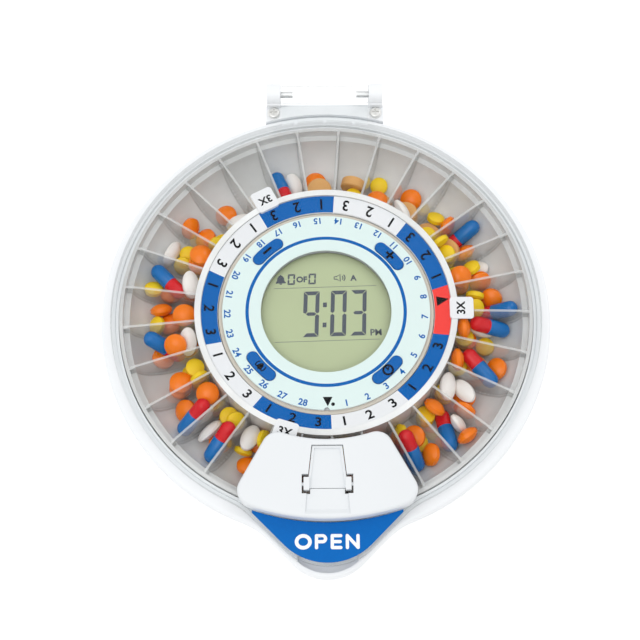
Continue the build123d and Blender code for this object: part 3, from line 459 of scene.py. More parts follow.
class Nodes:
    """Short way to write a material's node tree."""

    def __init__(self, name):
        self.material = bpy.data.materials.new(name)
        self.material.use_nodes = True
        self.tree = self.material.node_tree
        self.shader = self.tree.nodes["Principled BSDF"]
        self.output = self.tree.nodes["Material Output"]

    def add(self, kind, settings=None, **inputs):
        node = self.tree.nodes.new(kind)
        for key, value in (settings or {}).items():
            setattr(node, key, value)
        for key, value in inputs.items():
            self.put(node, key, value)
        return node

    def put(self, node, key, value):
        connect(self.tree, socket_of(node, key), value)

    def math(self, operation, a, b=0.0, c=0.0):
        return self.add("ShaderNodeMath", {"operation": operation}, n0=a, n1=b, n2=c).outputs[0]

    def mix(self, factor, a, b):
        node = self.add("ShaderNodeMix", {"data_type": "RGBA"})
        for socket, value in ((node.inputs["Factor"], factor), (node.inputs[6], a), (node.inputs[7], b)):
            connect(self.tree, socket, value)
        return node.outputs[2]

    def place(self):
        return self.add("ShaderNodeTexCoord").outputs["Object"]

    def noise(self, scale, detail=3.0, rough=0.5, where=None):
        where = where or self.place()
        inputs = {"Vector": where, "Scale": scale, "Detail": detail, "Roughness": rough}
        return self.add("ShaderNodeTexNoise", None, **inputs).outputs["Fac"]

    def facing_up(self):
        """Upward part of the surface's direction."""
        normal = self.add("ShaderNodeNewGeometry").outputs["Normal"]
        return self.add("ShaderNodeSeparateXYZ", None, Vector=normal).outputs["Z"]

    def bump(self, height, strength, distance):
        inputs = {"Height": height, "Strength": strength, "Distance": distance}
        return self.add("ShaderNodeBump", None, **inputs).outputs["Normal"]

    def surface(self, **inputs):
        for key, value in inputs.items():
            self.put(self.shader, key, value)
        return self.material

    def radius_and_angle(self):
        """Distance from the Z axis, and angle about it in degrees from 0 to 360."""
        parts = self.add("ShaderNodeSeparateXYZ", None, Vector=self.place())
        x, y = parts.outputs["X"], parts.outputs["Y"]
        square = self.math("ADD", self.math("MULTIPLY", x, x), self.math("MULTIPLY", y, y))
        radius = self.math("SQRT", square)
        turn = self.math("MULTIPLY", self.math("ARCTAN2", y, x), 180 / pi)
        return radius, self.math("FLOORED_MODULO", turn, 360.0)


def rgb(value, scale=1.0):
    return (min(value[0] * scale, 1), min(value[1] * scale, 1), min(value[2] * scale, 1), 1)


def moulded_plastic(name, tone, roughness=0.4, grain=0.0006, bump=0.12, specular=0.5):
    """Opaque moulded plastic with a fine spark-eroded texture."""
    n = Nodes(name)
    fine = n.noise(1.0 / grain, 2.0)
    broad = n.noise(28.0, 2.0)
    tint = n.mix(broad, rgb(tone, 0.975), rgb(tone, 1.015))
    rough = n.math("MULTIPLY_ADD", fine, 0.10, roughness - 0.05)
    return n.surface(
        Base_Color=tint,
        Roughness=rough,
        Normal=n.bump(fine, bump, 0.00003),
        IOR=1.49,
        Specular_IOR_Level=specular,
    )


def clear_plastic(name, tint, veil=0.0, top_highlight=0.0, edge_shade=0.30, shine_on=0.02):
    """Clear moulded plastic: light goes straight on, gloss grows towards the edges of the view. Faces that
    point up get extra milky white, a painted highlight along their tops.
    """
    n = Nodes(name)
    facing = n.add("ShaderNodeLayerWeight", None, Blend=0.5).outputs["Facing"]
    gloss = n.math("MULTIPLY_ADD", n.math("POWER", facing, 5.0), 0.9, shine_on)
    shade = n.math("MULTIPLY", n.math("POWER", facing, 2.2), edge_shade)
    through = n.add("ShaderNodeBsdfTransparent", None, Color=n.mix(shade, rgb(tint), rgb(tint, 0.45)))
    shine = n.add("ShaderNodeBsdfGlossy", None, Color=(1, 1, 1, 1), Roughness=0.06)
    clear = n.add("ShaderNodeMixShader", None, Fac=gloss)
    n.tree.links.new(through.outputs[0], clear.inputs[1])
    n.tree.links.new(shine.outputs[0], clear.inputs[2])
    last = clear.outputs[0]
    if veil or top_highlight:
        # Faces that point up get extra milky white on top of the even haze: a painted highlight along their
        # tops.
        flat = n.math("GREATER_THAN", n.facing_up(), 0.8)
        haze = n.math("MULTIPLY_ADD", flat, top_highlight, veil)
        cloud = n.math("MULTIPLY_ADD", n.noise(45.0, 3.0), 0.5, 0.75)
        n.put(n.shader, "Base_Color", n.mix(n.noise(60.0), rgb(tint, 0.95), rgb(tint, 1.02)))
        n.put(n.shader, "Roughness", 0.35)
        milky = n.add("ShaderNodeMixShader", None, Fac=n.math("MULTIPLY", haze, cloud))
        n.tree.links.new(last, milky.inputs[1])
        n.tree.links.new(n.shader.outputs[0], milky.inputs[2])
        last = milky.outputs[0]
    n.tree.links.new(last, n.output.inputs["Surface"])
    return n.material


def metal(name, tone, roughness=0.28, brush=900.0):
    """Plated or ground steel with fine marks."""
    n = Nodes(name)
    stretched = n.add("ShaderNodeMapping", None, Vector=n.place(), Scale=(1.0, 1.0, 8.0)).outputs["Vector"]
    marks = n.noise(brush, 4.0, 0.6, stretched)
    tint = n.mix(marks, rgb(tone, 0.88), rgb(tone, 1.06))
    rough = n.math("MULTIPLY_ADD", marks, 0.18, roughness - 0.09)
    return n.surface(Base_Color=tint, Metallic=1.0, Roughness=rough, Normal=n.bump(marks, 0.15, 0.00002))


def ink(name, tone, roughness=0.5):
    """Screen-printed ink, a little uneven."""
    n = Nodes(name)
    patches = n.noise(700.0, 3.0)
    tint = n.mix(patches, rgb(tone, 0.93), rgb(tone, 1.08))
    rough = n.math("MULTIPLY_ADD", patches, 0.12, roughness - 0.06)
    return n.surface(Base_Color=tint, Roughness=rough, Specular_IOR_Level=0.1)


def panel_print(name, look):
    """Printed film of the dial: pale panel with one blue ring."""
    n = Nodes(name)
    radius, _ = n.radius_and_angle()
    past_inner = n.math("GREATER_THAN", radius, look.ring_inner)
    band = n.math("MULTIPLY", past_inner, n.math("LESS_THAN", radius, look.ring_outer))
    grain = n.noise(1800.0, 2.0)
    paper = n.mix(grain, rgb(look.mint, 0.985), rgb(look.mint, 1.015))
    tint = n.mix(band, paper, rgb(look.blue))
    relief = n.bump(grain, 0.06, 0.00002)
    return n.surface(Base_Color=tint, Roughness=0.42, Specular_IOR_Level=0.15, Normal=relief)


def sector_print(name, look, tray):
    """Printed dose ring: blue and white groups of three doses and one red pair."""
    n = Nodes(name)
    _, angle = n.radius_and_angle()
    pitch = 360.0 / tray.compartments
    from_first = n.math("SUBTRACT", angle, degrees(tray.first_divider))
    cell = n.math("DIVIDE", n.math("FLOORED_MODULO", from_first, 360.0), pitch)
    group = n.math("FLOOR", n.math("DIVIDE", cell, 3.0))
    odd = n.math("FLOORED_MODULO", group, 2.0)
    last = n.math("GREATER_THAN", cell, float(tray.compartments - 2))
    grain = n.noise(1500.0, 2.0)
    white = n.mix(grain, rgb(look.ring_white, 0.98), rgb(look.ring_white, 1.02))
    print_colour = n.mix(last, n.mix(odd, rgb(look.blue), white), rgb(look.red))
    up = n.facing_up()
    level = n.math("GREATER_THAN", up, 0.99)
    printed = n.math("GREATER_THAN", up, 0.8)
    tint = n.mix(n.math("SUBTRACT", printed, level), white, print_colour)
    relief = n.bump(grain, 0.05, 0.00002)
    return n.surface(Base_Color=tint, Roughness=0.4, Specular_IOR_Level=0.15, Normal=relief)


def speckled(name, tone, dark, dots, roughness, depth=0.00012):
    """Pressed tablet with coloured specks and a slightly chalky surface."""
    n = Nodes(name)
    where = n.place()
    cells = n.add("ShaderNodeTexVoronoi", None, Vector=where, Scale=dots).outputs["Distance"]
    chalk = n.noise(1800.0, 4.0, 0.6, where)
    spot = n.math("LESS_THAN", cells, 0.16)
    patch = n.math("GREATER_THAN", n.noise(dots * 1.7, 1.0, 0.5, where), 0.52)
    pick = n.math("MULTIPLY", spot, patch)
    tint = n.mix(chalk, rgb(tone, 0.90), rgb(tone, 1.07))
    tint = n.mix(n.math("MULTIPLY", pick, 0.75), tint, rgb(dark))
    return n.surface(Base_Color=tint, Roughness=roughness, Normal=n.bump(chalk, 0.35, depth))


def coated(name, tone, roughness=0.16):
    """Glossy sugar-coated or gelatine surface."""
    n = Nodes(name)
    ripple = n.noise(420.0, 2.0)
    tint = n.mix(ripple, rgb(tone, 0.93), rgb(tone, 1.05))
    return n.surface(
        Base_Color=tint,
        Roughness=roughness,
        Specular_IOR_Level=0.3,
        Coat_Weight=0.15,
        Coat_Roughness=0.06,
        Normal=n.bump(ripple, 0.05, 0.00008),
    )


def black_ink():
    """Black ink that several pieces share, made the first time it is asked for."""
    found = bpy.data.materials.get("Black ink")
    return found or ink("Black ink", bpy.context.scene.dispenser_print.ink)


# ---------------------------------------------------------------------------
# Geometry Nodes
# ---------------------------------------------------------------------------


class Tree:
    """Short way to write a geometry node tree with named inputs."""

    def __init__(self, name):
        self.group = bpy.data.node_groups.new(name, "GeometryNodeTree")
        self.group.interface.new_socket("Geometry", in_out="INPUT", socket_type="NodeSocketGeometry")
        self.group.interface.new_socket("Geometry", in_out="OUTPUT", socket_type="NodeSocketGeometry")
        self.entry = self.add("NodeGroupInput")
        self.exit = self.add("NodeGroupOutput")
        self.sockets = {}

    def value(self, name, kind="NodeSocketFloat", default=None):
        socket = self.group.interface.new_socket(name, in_out="INPUT", socket_type=kind)
        if default is not None:
            socket.default_value = default
        self.sockets[name] = socket.identifier
        return self.entry.outputs[name]

    def add(self, kind, settings=None, **inputs):
        node = self.group.nodes.new(kind)
        for key, value in (settings or {}).items():
            setattr(node, key, value)
        for key, value in inputs.items():
            connect(self.group, socket_of(node, key), value)
        return node

    def math(self, operation, a, b=0.0):
        return self.add("ShaderNodeMath", {"operation": operation}, n0=a, n1=b).outputs[0]

    def finish(self, geometry):
        """Realizes the copies and paints them with the material that the tree is given."""
        whole = self.add("GeometryNodeRealizeInstances", None, Geometry=geometry)
        material = self.value("Material", "NodeSocketMaterial")
        painted = self.add(
            "GeometryNodeSetMaterial", None, Geometry=whole.outputs[0], Material=material
        )
        self.group.links.new(painted.outputs[0], self.exit.inputs[0])

    def run(self, obj, **values):
        """Runs the tree on an object with its inputs set, and keeps the plain mesh."""
        modifier = obj.modifiers.new(self.group.name, "NODES")
        modifier.node_group = self.group
        for name, value in values.items():
            modifier[self.sockets[name.replace("_", " ")]] = value
        return bake_modifiers(obj)


def repeat_round(name):
    """Tree that repeats a piece evenly round the Z axis."""
    tree = Tree(name)
    count = tree.value("Count", "NodeSocketInt", 4)
    start = tree.value("Start", "NodeSocketFloat", 0.0)
    points = tree.add("GeometryNodeMeshLine", {"mode": "OFFSET"}, Count=count, Offset=(0, 0, 0))
    step = tree.math("DIVIDE", 2 * pi, count)
    index = tree.add("GeometryNodeInputIndex").outputs[0]
    angle = tree.math("ADD", start, tree.math("MULTIPLY", index, step))
    turned = tree.add("ShaderNodeCombineXYZ", None, Z=angle)
    copies = tree.add(
        "GeometryNodeInstanceOnPoints",
        None,
        Points=points.outputs[0],
        Instance=tree.entry.outputs[0],
        Rotation=turned.outputs[0],
    )
    tree.finish(copies.outputs[0])
    return tree


def coil_tree(name):
    """Tree that winds a spring for each point of the mesh it is given, along the point's direction."""
    tree = Tree(name)
    turns = tree.value("Turns", "NodeSocketFloat", 3.5)
    wide = tree.value("Coil radius", "NodeSocketFloat", 0.0022)
    narrow = tree.value("End radius", "NodeSocketFloat", 0.0014)
    length_in = tree.value("Length", "NodeSocketFloat", 0.0019)
    wire = tree.value("Wire", "NodeSocketFloat", 0.0002)
    helix = tree.add(
        "GeometryNodeCurveSpiral",
        None,
        Resolution=14,
        Rotations=turns,
        Start_Radius=wide,
        End_Radius=narrow,
        Height=length_in,
    )
    section = tree.add("GeometryNodeCurvePrimitiveCircle", {"mode": "RADIUS"}, Resolution=6, Radius=wire)
    tube = tree.add(
        "GeometryNodeCurveToMesh",
        None,
        Curve=helix.outputs[0],
        Profile_Curve=section.outputs[0],
        Fill_Caps=True,
    )
    along = tree.add("GeometryNodeInputNamedAttribute", {"data_type": "FLOAT_VECTOR"}, Name="direction")
    turned = tree.add("FunctionNodeAlignRotationToVector", {"axis": "Z"}, Vector=along.outputs[0])
    copies = tree.add(
        "GeometryNodeInstanceOnPoints",
        None,
        Points=tree.entry.outputs[0],
        Instance=tube.outputs[0],
        Rotation=turned.outputs[0],
    )
    tree.finish(copies.outputs[0])
    return tree


# ---------------------------------------------------------------------------
# Operators
# ---------------------------------------------------------------------------


class DISPENSER_OT_white_mouldings(bpy.types.Operator):
    """Finish the white base, hinge bracket, faceplate and other opaque mouldings"""

    bl_idname = "dispenser.white_mouldings"
    bl_label = "White mouldings"

    def execute(self, context):
        look = context.scene.dispenser_plastics
        white = moulded_plastic("White ABS", look.white, 0.42, look.grain)
        grey = moulded_plastic("Grey ABS", (0.36, 0.38, 0.40), 0.5, 0.0008)
        rubber = moulded_plastic("Soft rubber", (0.34, 0.36, 0.38), 0.75, 0.0004, 0.5)
        for material, nodes in (
            (white, "base_bowl hinge_bracket faceplate control_housing battery_door deck"),
            (grey, "battery_box gearbox lcd_frame"),
            (rubber, "foot_ring"),
        ):
            for node in nodes.split():
                moulded(node, material)
        return {"FINISHED"}


class DISPENSER_OT_clear_lid(bpy.types.Operator):
    """Finish the clear hinged lid"""

    bl_idname = "dispenser.clear_lid"
    bl_label = "Clear lid"

    def execute(self, context):
        look = context.scene.dispenser_plastics
        moulded("lid_shell", clear_plastic("Clear lid", look.lid_tint, edge_shade=0.8, shine_on=0.005))
        return {"FINISHED"}


CURVE_STEPS = 16  # straight steps in the curved part of the floor


def divider_profile():
    """Side view of a divider as (radius, height), counter-clockwise from the hub's foot,
    and the part of it that follows the tray's floor."""
    low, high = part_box("tray_dividers")
    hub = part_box("tray_hub")[1].x
    floor, upper = low.z, high.z
    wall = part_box("pill_tray")[1].x - 0.0015
    step_width, step_drop = 0.0024, 0.0058
    flat_floor, chamfer_width, chamfer_drop = 0.0118, 0.0025, 0.001
    ledge = upper - step_drop
    flat, curve_end = hub + flat_floor, wall - step_width
    run, rise = curve_end - flat, ledge - floor
    radius = (run * run + rise * rise) / (2 * rise)
    sweep = 2 * atan2(rise, run)
    turns = [sweep * i / CURVE_STEPS for i in range(CURVE_STEPS + 1)]
    curve = [(flat + radius * sin(a), floor + radius * (1 - cos(a))) for a in turns]
    floor_line = [(hub, floor)] + curve + [(wall, ledge)]
    outline = floor_line + [(wall, upper - chamfer_drop), (wall - chamfer_width, upper), (hub, upper)]
    return outline, floor_line


def seam_bead(bm, floor_line, side, half, width):
    """Thin bead of plastic along the line where one side of a divider meets the floor."""
    overlap, sunk = 0.0001, 0.00005
    rings = []
    for radius, height in floor_line:
        corners = (
            (radius, side * (half - overlap), height - sunk),
            (radius, side * (half + width), height - sunk),
            (radius, side * (half - overlap), height + width),
        )
        rings.append([bm.verts.new(corner) for corner in corners])
    for a, b in zip(rings, rings[1:]):
        for i in range(3):
            j = (i + 1) % 3
            bm.faces.new((a[i], a[j], b[j], b[i]))
    bm.faces.new(rings[0])
    bm.faces.new(rings[-1][::-1])


class DISPENSER_OT_tray(bpy.types.Operator):
    """Finish the clear tray and its hub, and repeat the dividers round it"""

    bl_idname = "dispenser.tray"
    bl_label = "Tray and dividers"

    def execute(self, context):
        look, tray = context.scene.dispenser_plastics, context.scene.dispenser_tray
        floor = clear_plastic("Tray moulding", look.tray_tint, look.tray_veil, 0.0, 0.2)
        # Hub and dividers pass 0.3 as extra white on their upward faces, a painted highlight along their
        # tops.
        hub = clear_plastic("Hub moulding", look.tray_tint, look.tray_veil, 0.3, 0.2)
        clear = clear_plastic("Divider moulding", look.tray_tint, look.divider_veil, 0.30, 0.06)
        moulded("pill_tray", floor)
        moulded("tray_hub", hub)
        outline, floor_line = divider_profile()
        bm = bmesh.new()
        half = tray.divider_thickness / 2
        standing = Matrix(((1, 0, 0, 0), (0, 0, -1, 0), (0, 1, 0, 0), (0, 0, 0, 1)))
        prism(bm, outline, -half, half, standing)
        bmesh.ops.recalc_face_normals(bm, faces=bm.faces)
        near, crest = 1e-6, outline[-1][1]
        upper_edges = []
        for edge in bm.edges:
            a, b = (vert.co for vert in edge.verts)
            if abs(a.z - b.z) < near and a.z > crest - near and abs(a.y - b.y) < near:
                upper_edges.append(edge)
        bmesh.ops.bevel(bm, geom=upper_edges, offset=0.0003, segments=2, profile=0.5, affect="EDGES")
        for side in (-1, 1):
            seam_bead(bm, floor_line, side, half, tray.seam)
        dividers = from_bmesh("tray_divider_set", bm)
        tree = repeat_round("Dividers round the tray")
        tree.run(dividers, Count=tray.compartments, Start=tray.first_divider, Material=clear)
        finish_piece(dividers, "tray", "tray_clear", clear)
        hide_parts("tray_dividers")
        return {"FINISHED"}


TAB_ANGLES = (-0.5, 117.5, 252.5)  # directions of the dose ring's three tabs, in degrees


class DISPENSER_OT_dose_ring(bpy.types.Operator):
    """Print the dose ring's sectors, numbers and marks"""

    bl_idname = "dispenser.dose_ring"
    bl_label = "Dose ring"

    def execute(self, context):
        look, tray = context.scene.dispenser_print, context.scene.dispenser_tray
        moulded("dose_ring", sector_print("Dose ring print", look, tray))
        inner, outer, rise = 0.0482, 0.0555, 0.0026
        slope = atan2(rise, outer - inner)
        bold, inked = 0.00014, look.ink_height
        bm = bmesh.new()
        pitch = 2 * pi / tray.compartments
        height = top("faceplate") + rise * (look.dose_radius - inner) / (outer - inner) + inked
        for i in range(tray.compartments - 2):
            place = upright(tray.first_divider + (i + 0.5) * pitch, look.dose_radius, height, slope)
            add_text(bm, str(i % 3 + 1), look.dose_height, place, inked, bold)
        pointer = upright(tray.first_divider - 0.55 * pitch, look.dose_radius + 0.0002, height, slope)
        prism(bm, arrowhead(0.0023, 0.0028), -inked / 2, inked * 1.5, pointer)
        finish_piece(from_bmesh("dose_numbers", bm), "tray", "white_print", black_ink())
        bm = bmesh.new()
        mark_radius, mark_height = 0.0594, 0.0036
        for angle in TAB_ANGLES:
            place = upright(radians(angle), mark_radius, top("dose_ring") + inked / 2)
            add_text(bm, "3X", mark_height, place, inked, bold)
        finish_piece(from_bmesh("dose_tab_marks", bm), "tray", "white_print", black_ink())
        return {"FINISHED"}


class DISPENSER_OT_dial(bpy.types.Operator):
    """Print the fixed panel with its blue ring and day numbers"""

    bl_idname = "dispenser.dial"
    bl_label = "Dial panel"

    def execute(self, context):
        look = context.scene.dispenser_print
        moulded("dial_overlay", panel_print("Panel print", look))
        seal = moulded_plastic("Dust seal", look.seal, 0.6, 0.0005)
        inner, outer = radii("dial_overlay")[1] - 0.0002, radii("dose_ring")[0] - 0.0004
        upper, edge = top("dial_overlay") - 0.0013, 0.0001
        lower = upper - 0.0006
        section = [
            (inner, lower),
            (outer - edge, lower),
            (outer, lower + edge),
            (outer, upper - edge),
            (outer - edge, upper),
            (inner, upper),
        ]
        bm = bmesh.new()
        lathe(bm, section, 180, closed=True)
        finish_piece(from_bmesh("dust_seal", bm), "base", "white_plastic", seal)

        inked = look.ink_height
        level = top("dial_overlay") + inked / 2
        days, front = 28, radians(270)
        bm = bmesh.new()
        for day in range(1, days + 1):
            angle = front + look.number_turn + day * 2 * pi / (days + 1)
            place = upright(angle, look.number_radius, level)
            add_text(bm, str(day), look.number_height, place, inked, 0.00010)
        finish_piece(from_bmesh("day_numbers", bm), "base", "mint_print", ink("Blue ink", look.blue, 0.42))

        bm = bmesh.new()
        mark = upright(front + look.dial_turn, 0.0424, level)
        prism(bm, arrowhead(0.0021, 0.0021), -inked / 2, inked / 2, mark)
        prism(bm, arc_points(0.0023, -0.0012, 0.0008, 0, 345, 23), -inked / 2, inked / 2, mark)
        finish_piece(from_bmesh("dial_pointer", bm), "base", "mint_print", black_ink())
        return {"FINISHED"}


SEGMENTS = {"0": "abcdef", "3": "abcdg", "9": "abcdfg"}


def segment_outlines(width, height, stroke_width, letters):
    """Outlines of a seven-segment digit's lit bars, with mitred ends."""
    w, h, t = width / 2, height / 2, stroke_width
    gap = t * 0.12
    side = [
        (-w, h - gap),
        (-w + t, h - t - gap),
        (-w + t, t / 2 + gap),
        (-w + t * 0.55, gap),
        (-w, t * 0.35 + gap),
    ]
    bar_end, bar_near, bar_half = w - t * 0.7, w - t * 1.2, t * 0.45
    bars = {
        "a": [(-w + gap, h), (w - gap, h), (w - t - gap * 0.5, h - t), (-w + t + gap * 0.5, h - t)],
        "d": [(-w + gap, -h), (-w + t + gap * 0.5, -h + t), (w - t - gap * 0.5, -h + t), (w - gap, -h)],
        "g": [
            (-bar_end, 0),
            (-bar_near, bar_half),
            (bar_near, bar_half),
            (bar_end, 0),
            (bar_near, -bar_half),
            (-bar_near, -bar_half),
        ],
        "f": side,
        "e": [(x, -y) for x, y in side],
        "b": [(-x, y) for x, y in side],
        "c": [(-x, -y) for x, y in side],
    }
    result = []
    for letter in letters:
        points = bars[letter]
        pairs = zip(points, points[1:] + points[:1])
        area = sum(x0 * y1 - x1 * y0 for (x0, y0), (x1, y1) in pairs)
        result.append(points if area > 0 else points[::-1])
    return result


# Right half of a bell, one unit wide and high, from its foot to its knob.
BELL_SIDE = [(0.5, -0.36), (0.5, -0.28), (0.36, -0.1), (0.33, 0.18), (0.2, 0.36), (0.07, 0.42), (0.07, 0.5)]


def bell(width, height):
    """Outline of the alarm bell."""
    right = [(x * width, y * height) for x, y in BELL_SIDE]
    return [(-right[0][0], right[0][1])] + right + [(-x, y) for x, y in right[:0:-1]]


class DISPENSER_OT_display(bpy.types.Operator):
    """Finish the display behind its window, with its lit segments"""

    bl_idname = "dispenser.display"
    bl_label = "Display"

    def execute(self, context):
        look, plastics = context.scene.dispenser_display, context.scene.dispenser_plastics
        n = Nodes("Display glass")
        haze = n.noise(90.0, 2.0)
        tint = n.mix(haze, rgb(look.glass, 0.97), rgb(look.glass, 1.03))
        moulded("lcd_panel", n.surface(Base_Color=tint, Roughness=0.3))
        lens = clear_plastic("Window lens", plastics.lid_tint, edge_shade=0.1, shine_on=0.005)
        moulded("display_lens", lens)
        thick = 0.00004
        level = top("lcd_panel") + thick
        low, high = level - thick / 2, level + thick / 2
        turned = Matrix.Rotation(look.tilt, 4, "Z")
        lean = Matrix(((1, tan(look.slant), 0, 0), (0, 1, 0, 0), (0, 0, 1, 0), (0, 0, 0, 1)))
        bm = bmesh.new()

        def shapes(outlines, x, y, slant=lean):
            place = turned @ Matrix.Translation((x, y, 0)) @ slant
            for outline in outlines:
                prism(bm, outline, low, high, place)

        middle, upper_row = -0.0002, 0.0168
        for digit, x in (("9", -0.0067), ("0", 0.0055), ("3", 0.0144)):
            bars = segment_outlines(look.digit_width, look.digit_height, look.stroke, SEGMENTS[digit])
            shapes(bars, x, middle)
        dot = block(0.00085, 0.0011)
        shapes([dot], -0.0004, middle + 0.0042)
        shapes([dot], -0.0009, middle - 0.0054)
        for x in (-0.0151, -0.0057):
            shapes(segment_outlines(0.0033, 0.0052, 0.00078, SEGMENTS["0"]), x, upper_row)
        shapes([bell(0.0046, 0.0048)], -0.0199, upper_row, STANDING_STILL)
        shapes([arc_points(0, 0, 0.0006, 180, 360, 10)], -0.0199, 0.0150, STANDING_STILL)
        for word, size, x, y, bold in (
            ("OF", 0.0027, -0.0104, 0.0167, 0.00016),
            ("A", 0.0026, 0.0129, 0.0167, 0.00016),
            ("PM", 0.0030, 0.0218, -0.0098, 0.00008),
        ):
            add_text(bm, word, size, turned @ Matrix.Translation((x, y, level)), thick, bold)
        line = 0.00045
        box_half, horn_half, box_x, neck_x, mouth_x = 0.0006, 0.0017, -0.0021, -0.001, 0.0006
        horn = [
            (box_x, -box_half),
            (neck_x, -box_half),
            (mouth_x, -horn_half),
            (mouth_x, horn_half),
            (neck_x, box_half),
            (box_x, box_half),
        ]
        place = turned @ Matrix.Translation((0.0063, 0.0169, 0))
        closed_stroke(bm, horn, line, low, high, place)
        for radius in (0.0011, 0.0020):
            prism(bm, stroke(arc_points(0.0008, 0, radius, -42, 42, 10), line), low, high, place)
        for y, half in ((0.0126, 0.0230), (-0.0131, 0.0232)):
            shapes([block(half, 0.00008)], 0, y, STANDING_STILL)
        lit = ink("Lit segments", look.segment, 0.45)
        finish_piece(from_bmesh("display_segments", bm), "base", "lcd_glass", lit)
        return {"FINISHED"}


KEY_RADIUS = 0.039  # from the dial's axis to the middle of a key, in metres
KEY_ANGLES = {"plus": 42.2, "minus": 132.4, "alarm": 222.4, "clock": -46.7}  # degrees


def key_symbol(bm, key, place, high):
    """Adds a key's printed symbol, from as far below its face as it stands above it."""
    low, half_bar, arm = -high, 0.00055, 0.0022
    if key == "minus":
        prism(bm, block(0.0024, half_bar), low, high, place)
    elif key == "plus":
        prism(bm, block(arm, half_bar), low, high, place)
        for side in (-1, 1):
            near, far = sorted((side * half_bar, side * arm))
            bar = [(-half_bar, near), (half_bar, near), (half_bar, far), (-half_bar, far)]
            prism(bm, bar, low, high, place)
    elif key == "clock":
        closed_stroke(bm, arc_points(0, 0, 0.0021, 0, 352.5, 47), 0.0009, low, high, place)
        prism(bm, stroke([(0, 0), (0.0001, 0.0013)], 0.0006), low, high, place)
        prism(bm, stroke([(0, 0), (0.0011, 0.0007)], 0.0006), low, high * 1.1, place)
    else:
        prism(bm, bell(0.0034, 0.0036), low, high, place)
        prism(bm, arc_points(0, -0.0013, 0.0005, 180, 360, 10), low, high, place)
        half_ring = 34
        for middle in (180, 0):
            ring = arc_points(0, 0.0001, 0.0023, middle - half_ring, middle + half_ring, 8)
            prism(bm, stroke(ring, 0.0005), low, high, place)


class DISPENSER_OT_keys(bpy.types.Operator):
    """Finish the four keys and print their symbols"""

    bl_idname = "dispenser.keys"
    bl_label = "Keys"

    def execute(self, context):
        look = context.scene.dispenser_print
        blue = moulded_plastic("Blue keys", look.blue, 0.36, 0.0007, 0.08, 0.2)
        for key, angle in KEY_ANGLES.items():
            node = "button_" + key
            moulded(node, blue)
            bm = bmesh.new()
            place = upright(radians(angle), KEY_RADIUS, top(node))
            key_symbol(bm, key, place, look.ink_height)
            finish_piece(from_bmesh("symbol_" + key, bm), key + "_button", "blue_button", black_ink())
        return {"FINISHED"}


class DISPENSER_OT_door(bpy.types.Operator):
    """Finish the dispensing door's cover and its gravity flap"""

    bl_idname = "dispenser.door"
    bl_label = "Dispensing door"

    def execute(self, context):
        look = context.scene.dispenser_plastics
        # The cover's colour is darker than the other white mouldings: painted shade against the strong
        # overhead light.
        white = moulded_plastic("Shaded cover ABS", look.cover, 0.42, look.grain)
        moulded("door_cover", white)
        moulded("gravity_flap", white)
        return {"FINISHED"}


def letter_strokes(letter, w, h):
    """Pen strokes of a capital letter w wide and h high, centred."""
    x, y = w / 2, h / 2
    if letter == "O":
        return [("ring", [(x * cos(2 * pi * i / 40), y * sin(2 * pi * i / 40)) for i in range(40)])]
    stem = ("line", [(-x, -y), (-x, y)])
    if letter == "P":
        turn_of_bowl = arc_points(0.16 * w, y / 2, y / 2, 80, -80, 12)
        bowl = [(-x, y), (0.23 * w, y)] + turn_of_bowl + [(0.2 * w, 0), (-x, 0)]
        return [stem, ("line", bowl)]
    if letter == "E":
        arms = ((1, 1), (0, 0.85), (-1, 1))
        return [stem] + [("line", [(-x, level * y), (x * reach, level * y)]) for level, reach in arms]
    return [stem, ("line", [(x, -y), (x, y)]), ("line", [(-x, y), (x, -y)])]


class DISPENSER_OT_label(bpy.types.Operator):
    """Finish the blue label on the opening tab and its raised word"""

    bl_idname = "dispenser.label"
    bl_label = "Opening label"

    def execute(self, context):
        look = context.scene.dispenser_print
        moulded("open_label", ink("Blue label", look.blue, 0.33))
        level = top("open_label")
        capital, gap, pen, ring_pen = 0.0049, 0.0027, 0.00135, 0.0015
        bm = bmesh.new()
        x, y = -0.0129, -0.1034
        for letter, width in (("O", 0.0055), ("P", 0.0038), ("E", 0.0035), ("N", 0.0044)):
            x += width / 2
            place = Matrix.Translation((x, y, 0))
            for layer, (kind, points) in enumerate(letter_strokes(letter, width, capital)):
                thick = look.ink_height * (1 + 0.08 * layer)  # no two strokes end in one plane
                low, high = level - thick, level + thick
                if kind == "ring":
                    closed_stroke(bm, points, ring_pen, low, high, place)
                else:
                    prism(bm, stroke(points, pen), low, high, place)
            x += width / 2 + gap
        white = ink("White ink", (0.9, 0.9, 0.91), 0.4)
        finish_piece(from_bmesh("open_word", bm), "lid", "blue_label", white)
        return {"FINISHED"}


class DISPENSER_OT_works(bpy.types.Operator):
    """Finish the batteries, screws, pins, gears, motor, board and lock"""

    bl_idname = "dispenser.works"
    bl_label = "Works and fastenings"

    def execute(self, context):
        pins = metal("Pin steel", (0.86, 0.86, 0.86), 0.5)
        black = moulded_plastic("Black plastic", (0.02, 0.02, 0.022), 0.4, 0.0008)
        for material, nodes in (
            (metal("Screw steel", (0.80, 0.80, 0.78), 0.42), "case_screws hinge_screws"),
            (pins, "hinge_pins"),
            (metal("Lock metal", (0.70, 0.70, 0.69), 0.25), "lock_body lock_plug"),
            (pins, "drive_motor"),
            (moulded_plastic("Acetal", (0.82, 0.80, 0.74), 0.45, 0.0009), "drive_pinion"),
            (moulded_plastic("Board", (0.02, 0.16, 0.07), 0.35, 0.0012), "circuit_board"),
            (black, "key_switches buzzer tilt_switch"),
            (cell_jacket("Cell jacket"), "aa_cells"),
        ):
            for node in nodes.split():
                moulded(node, material)
        contact_plates(metal("Nickel", (0.78, 0.76, 0.72), 0.2))
        return {"FINISHED"}


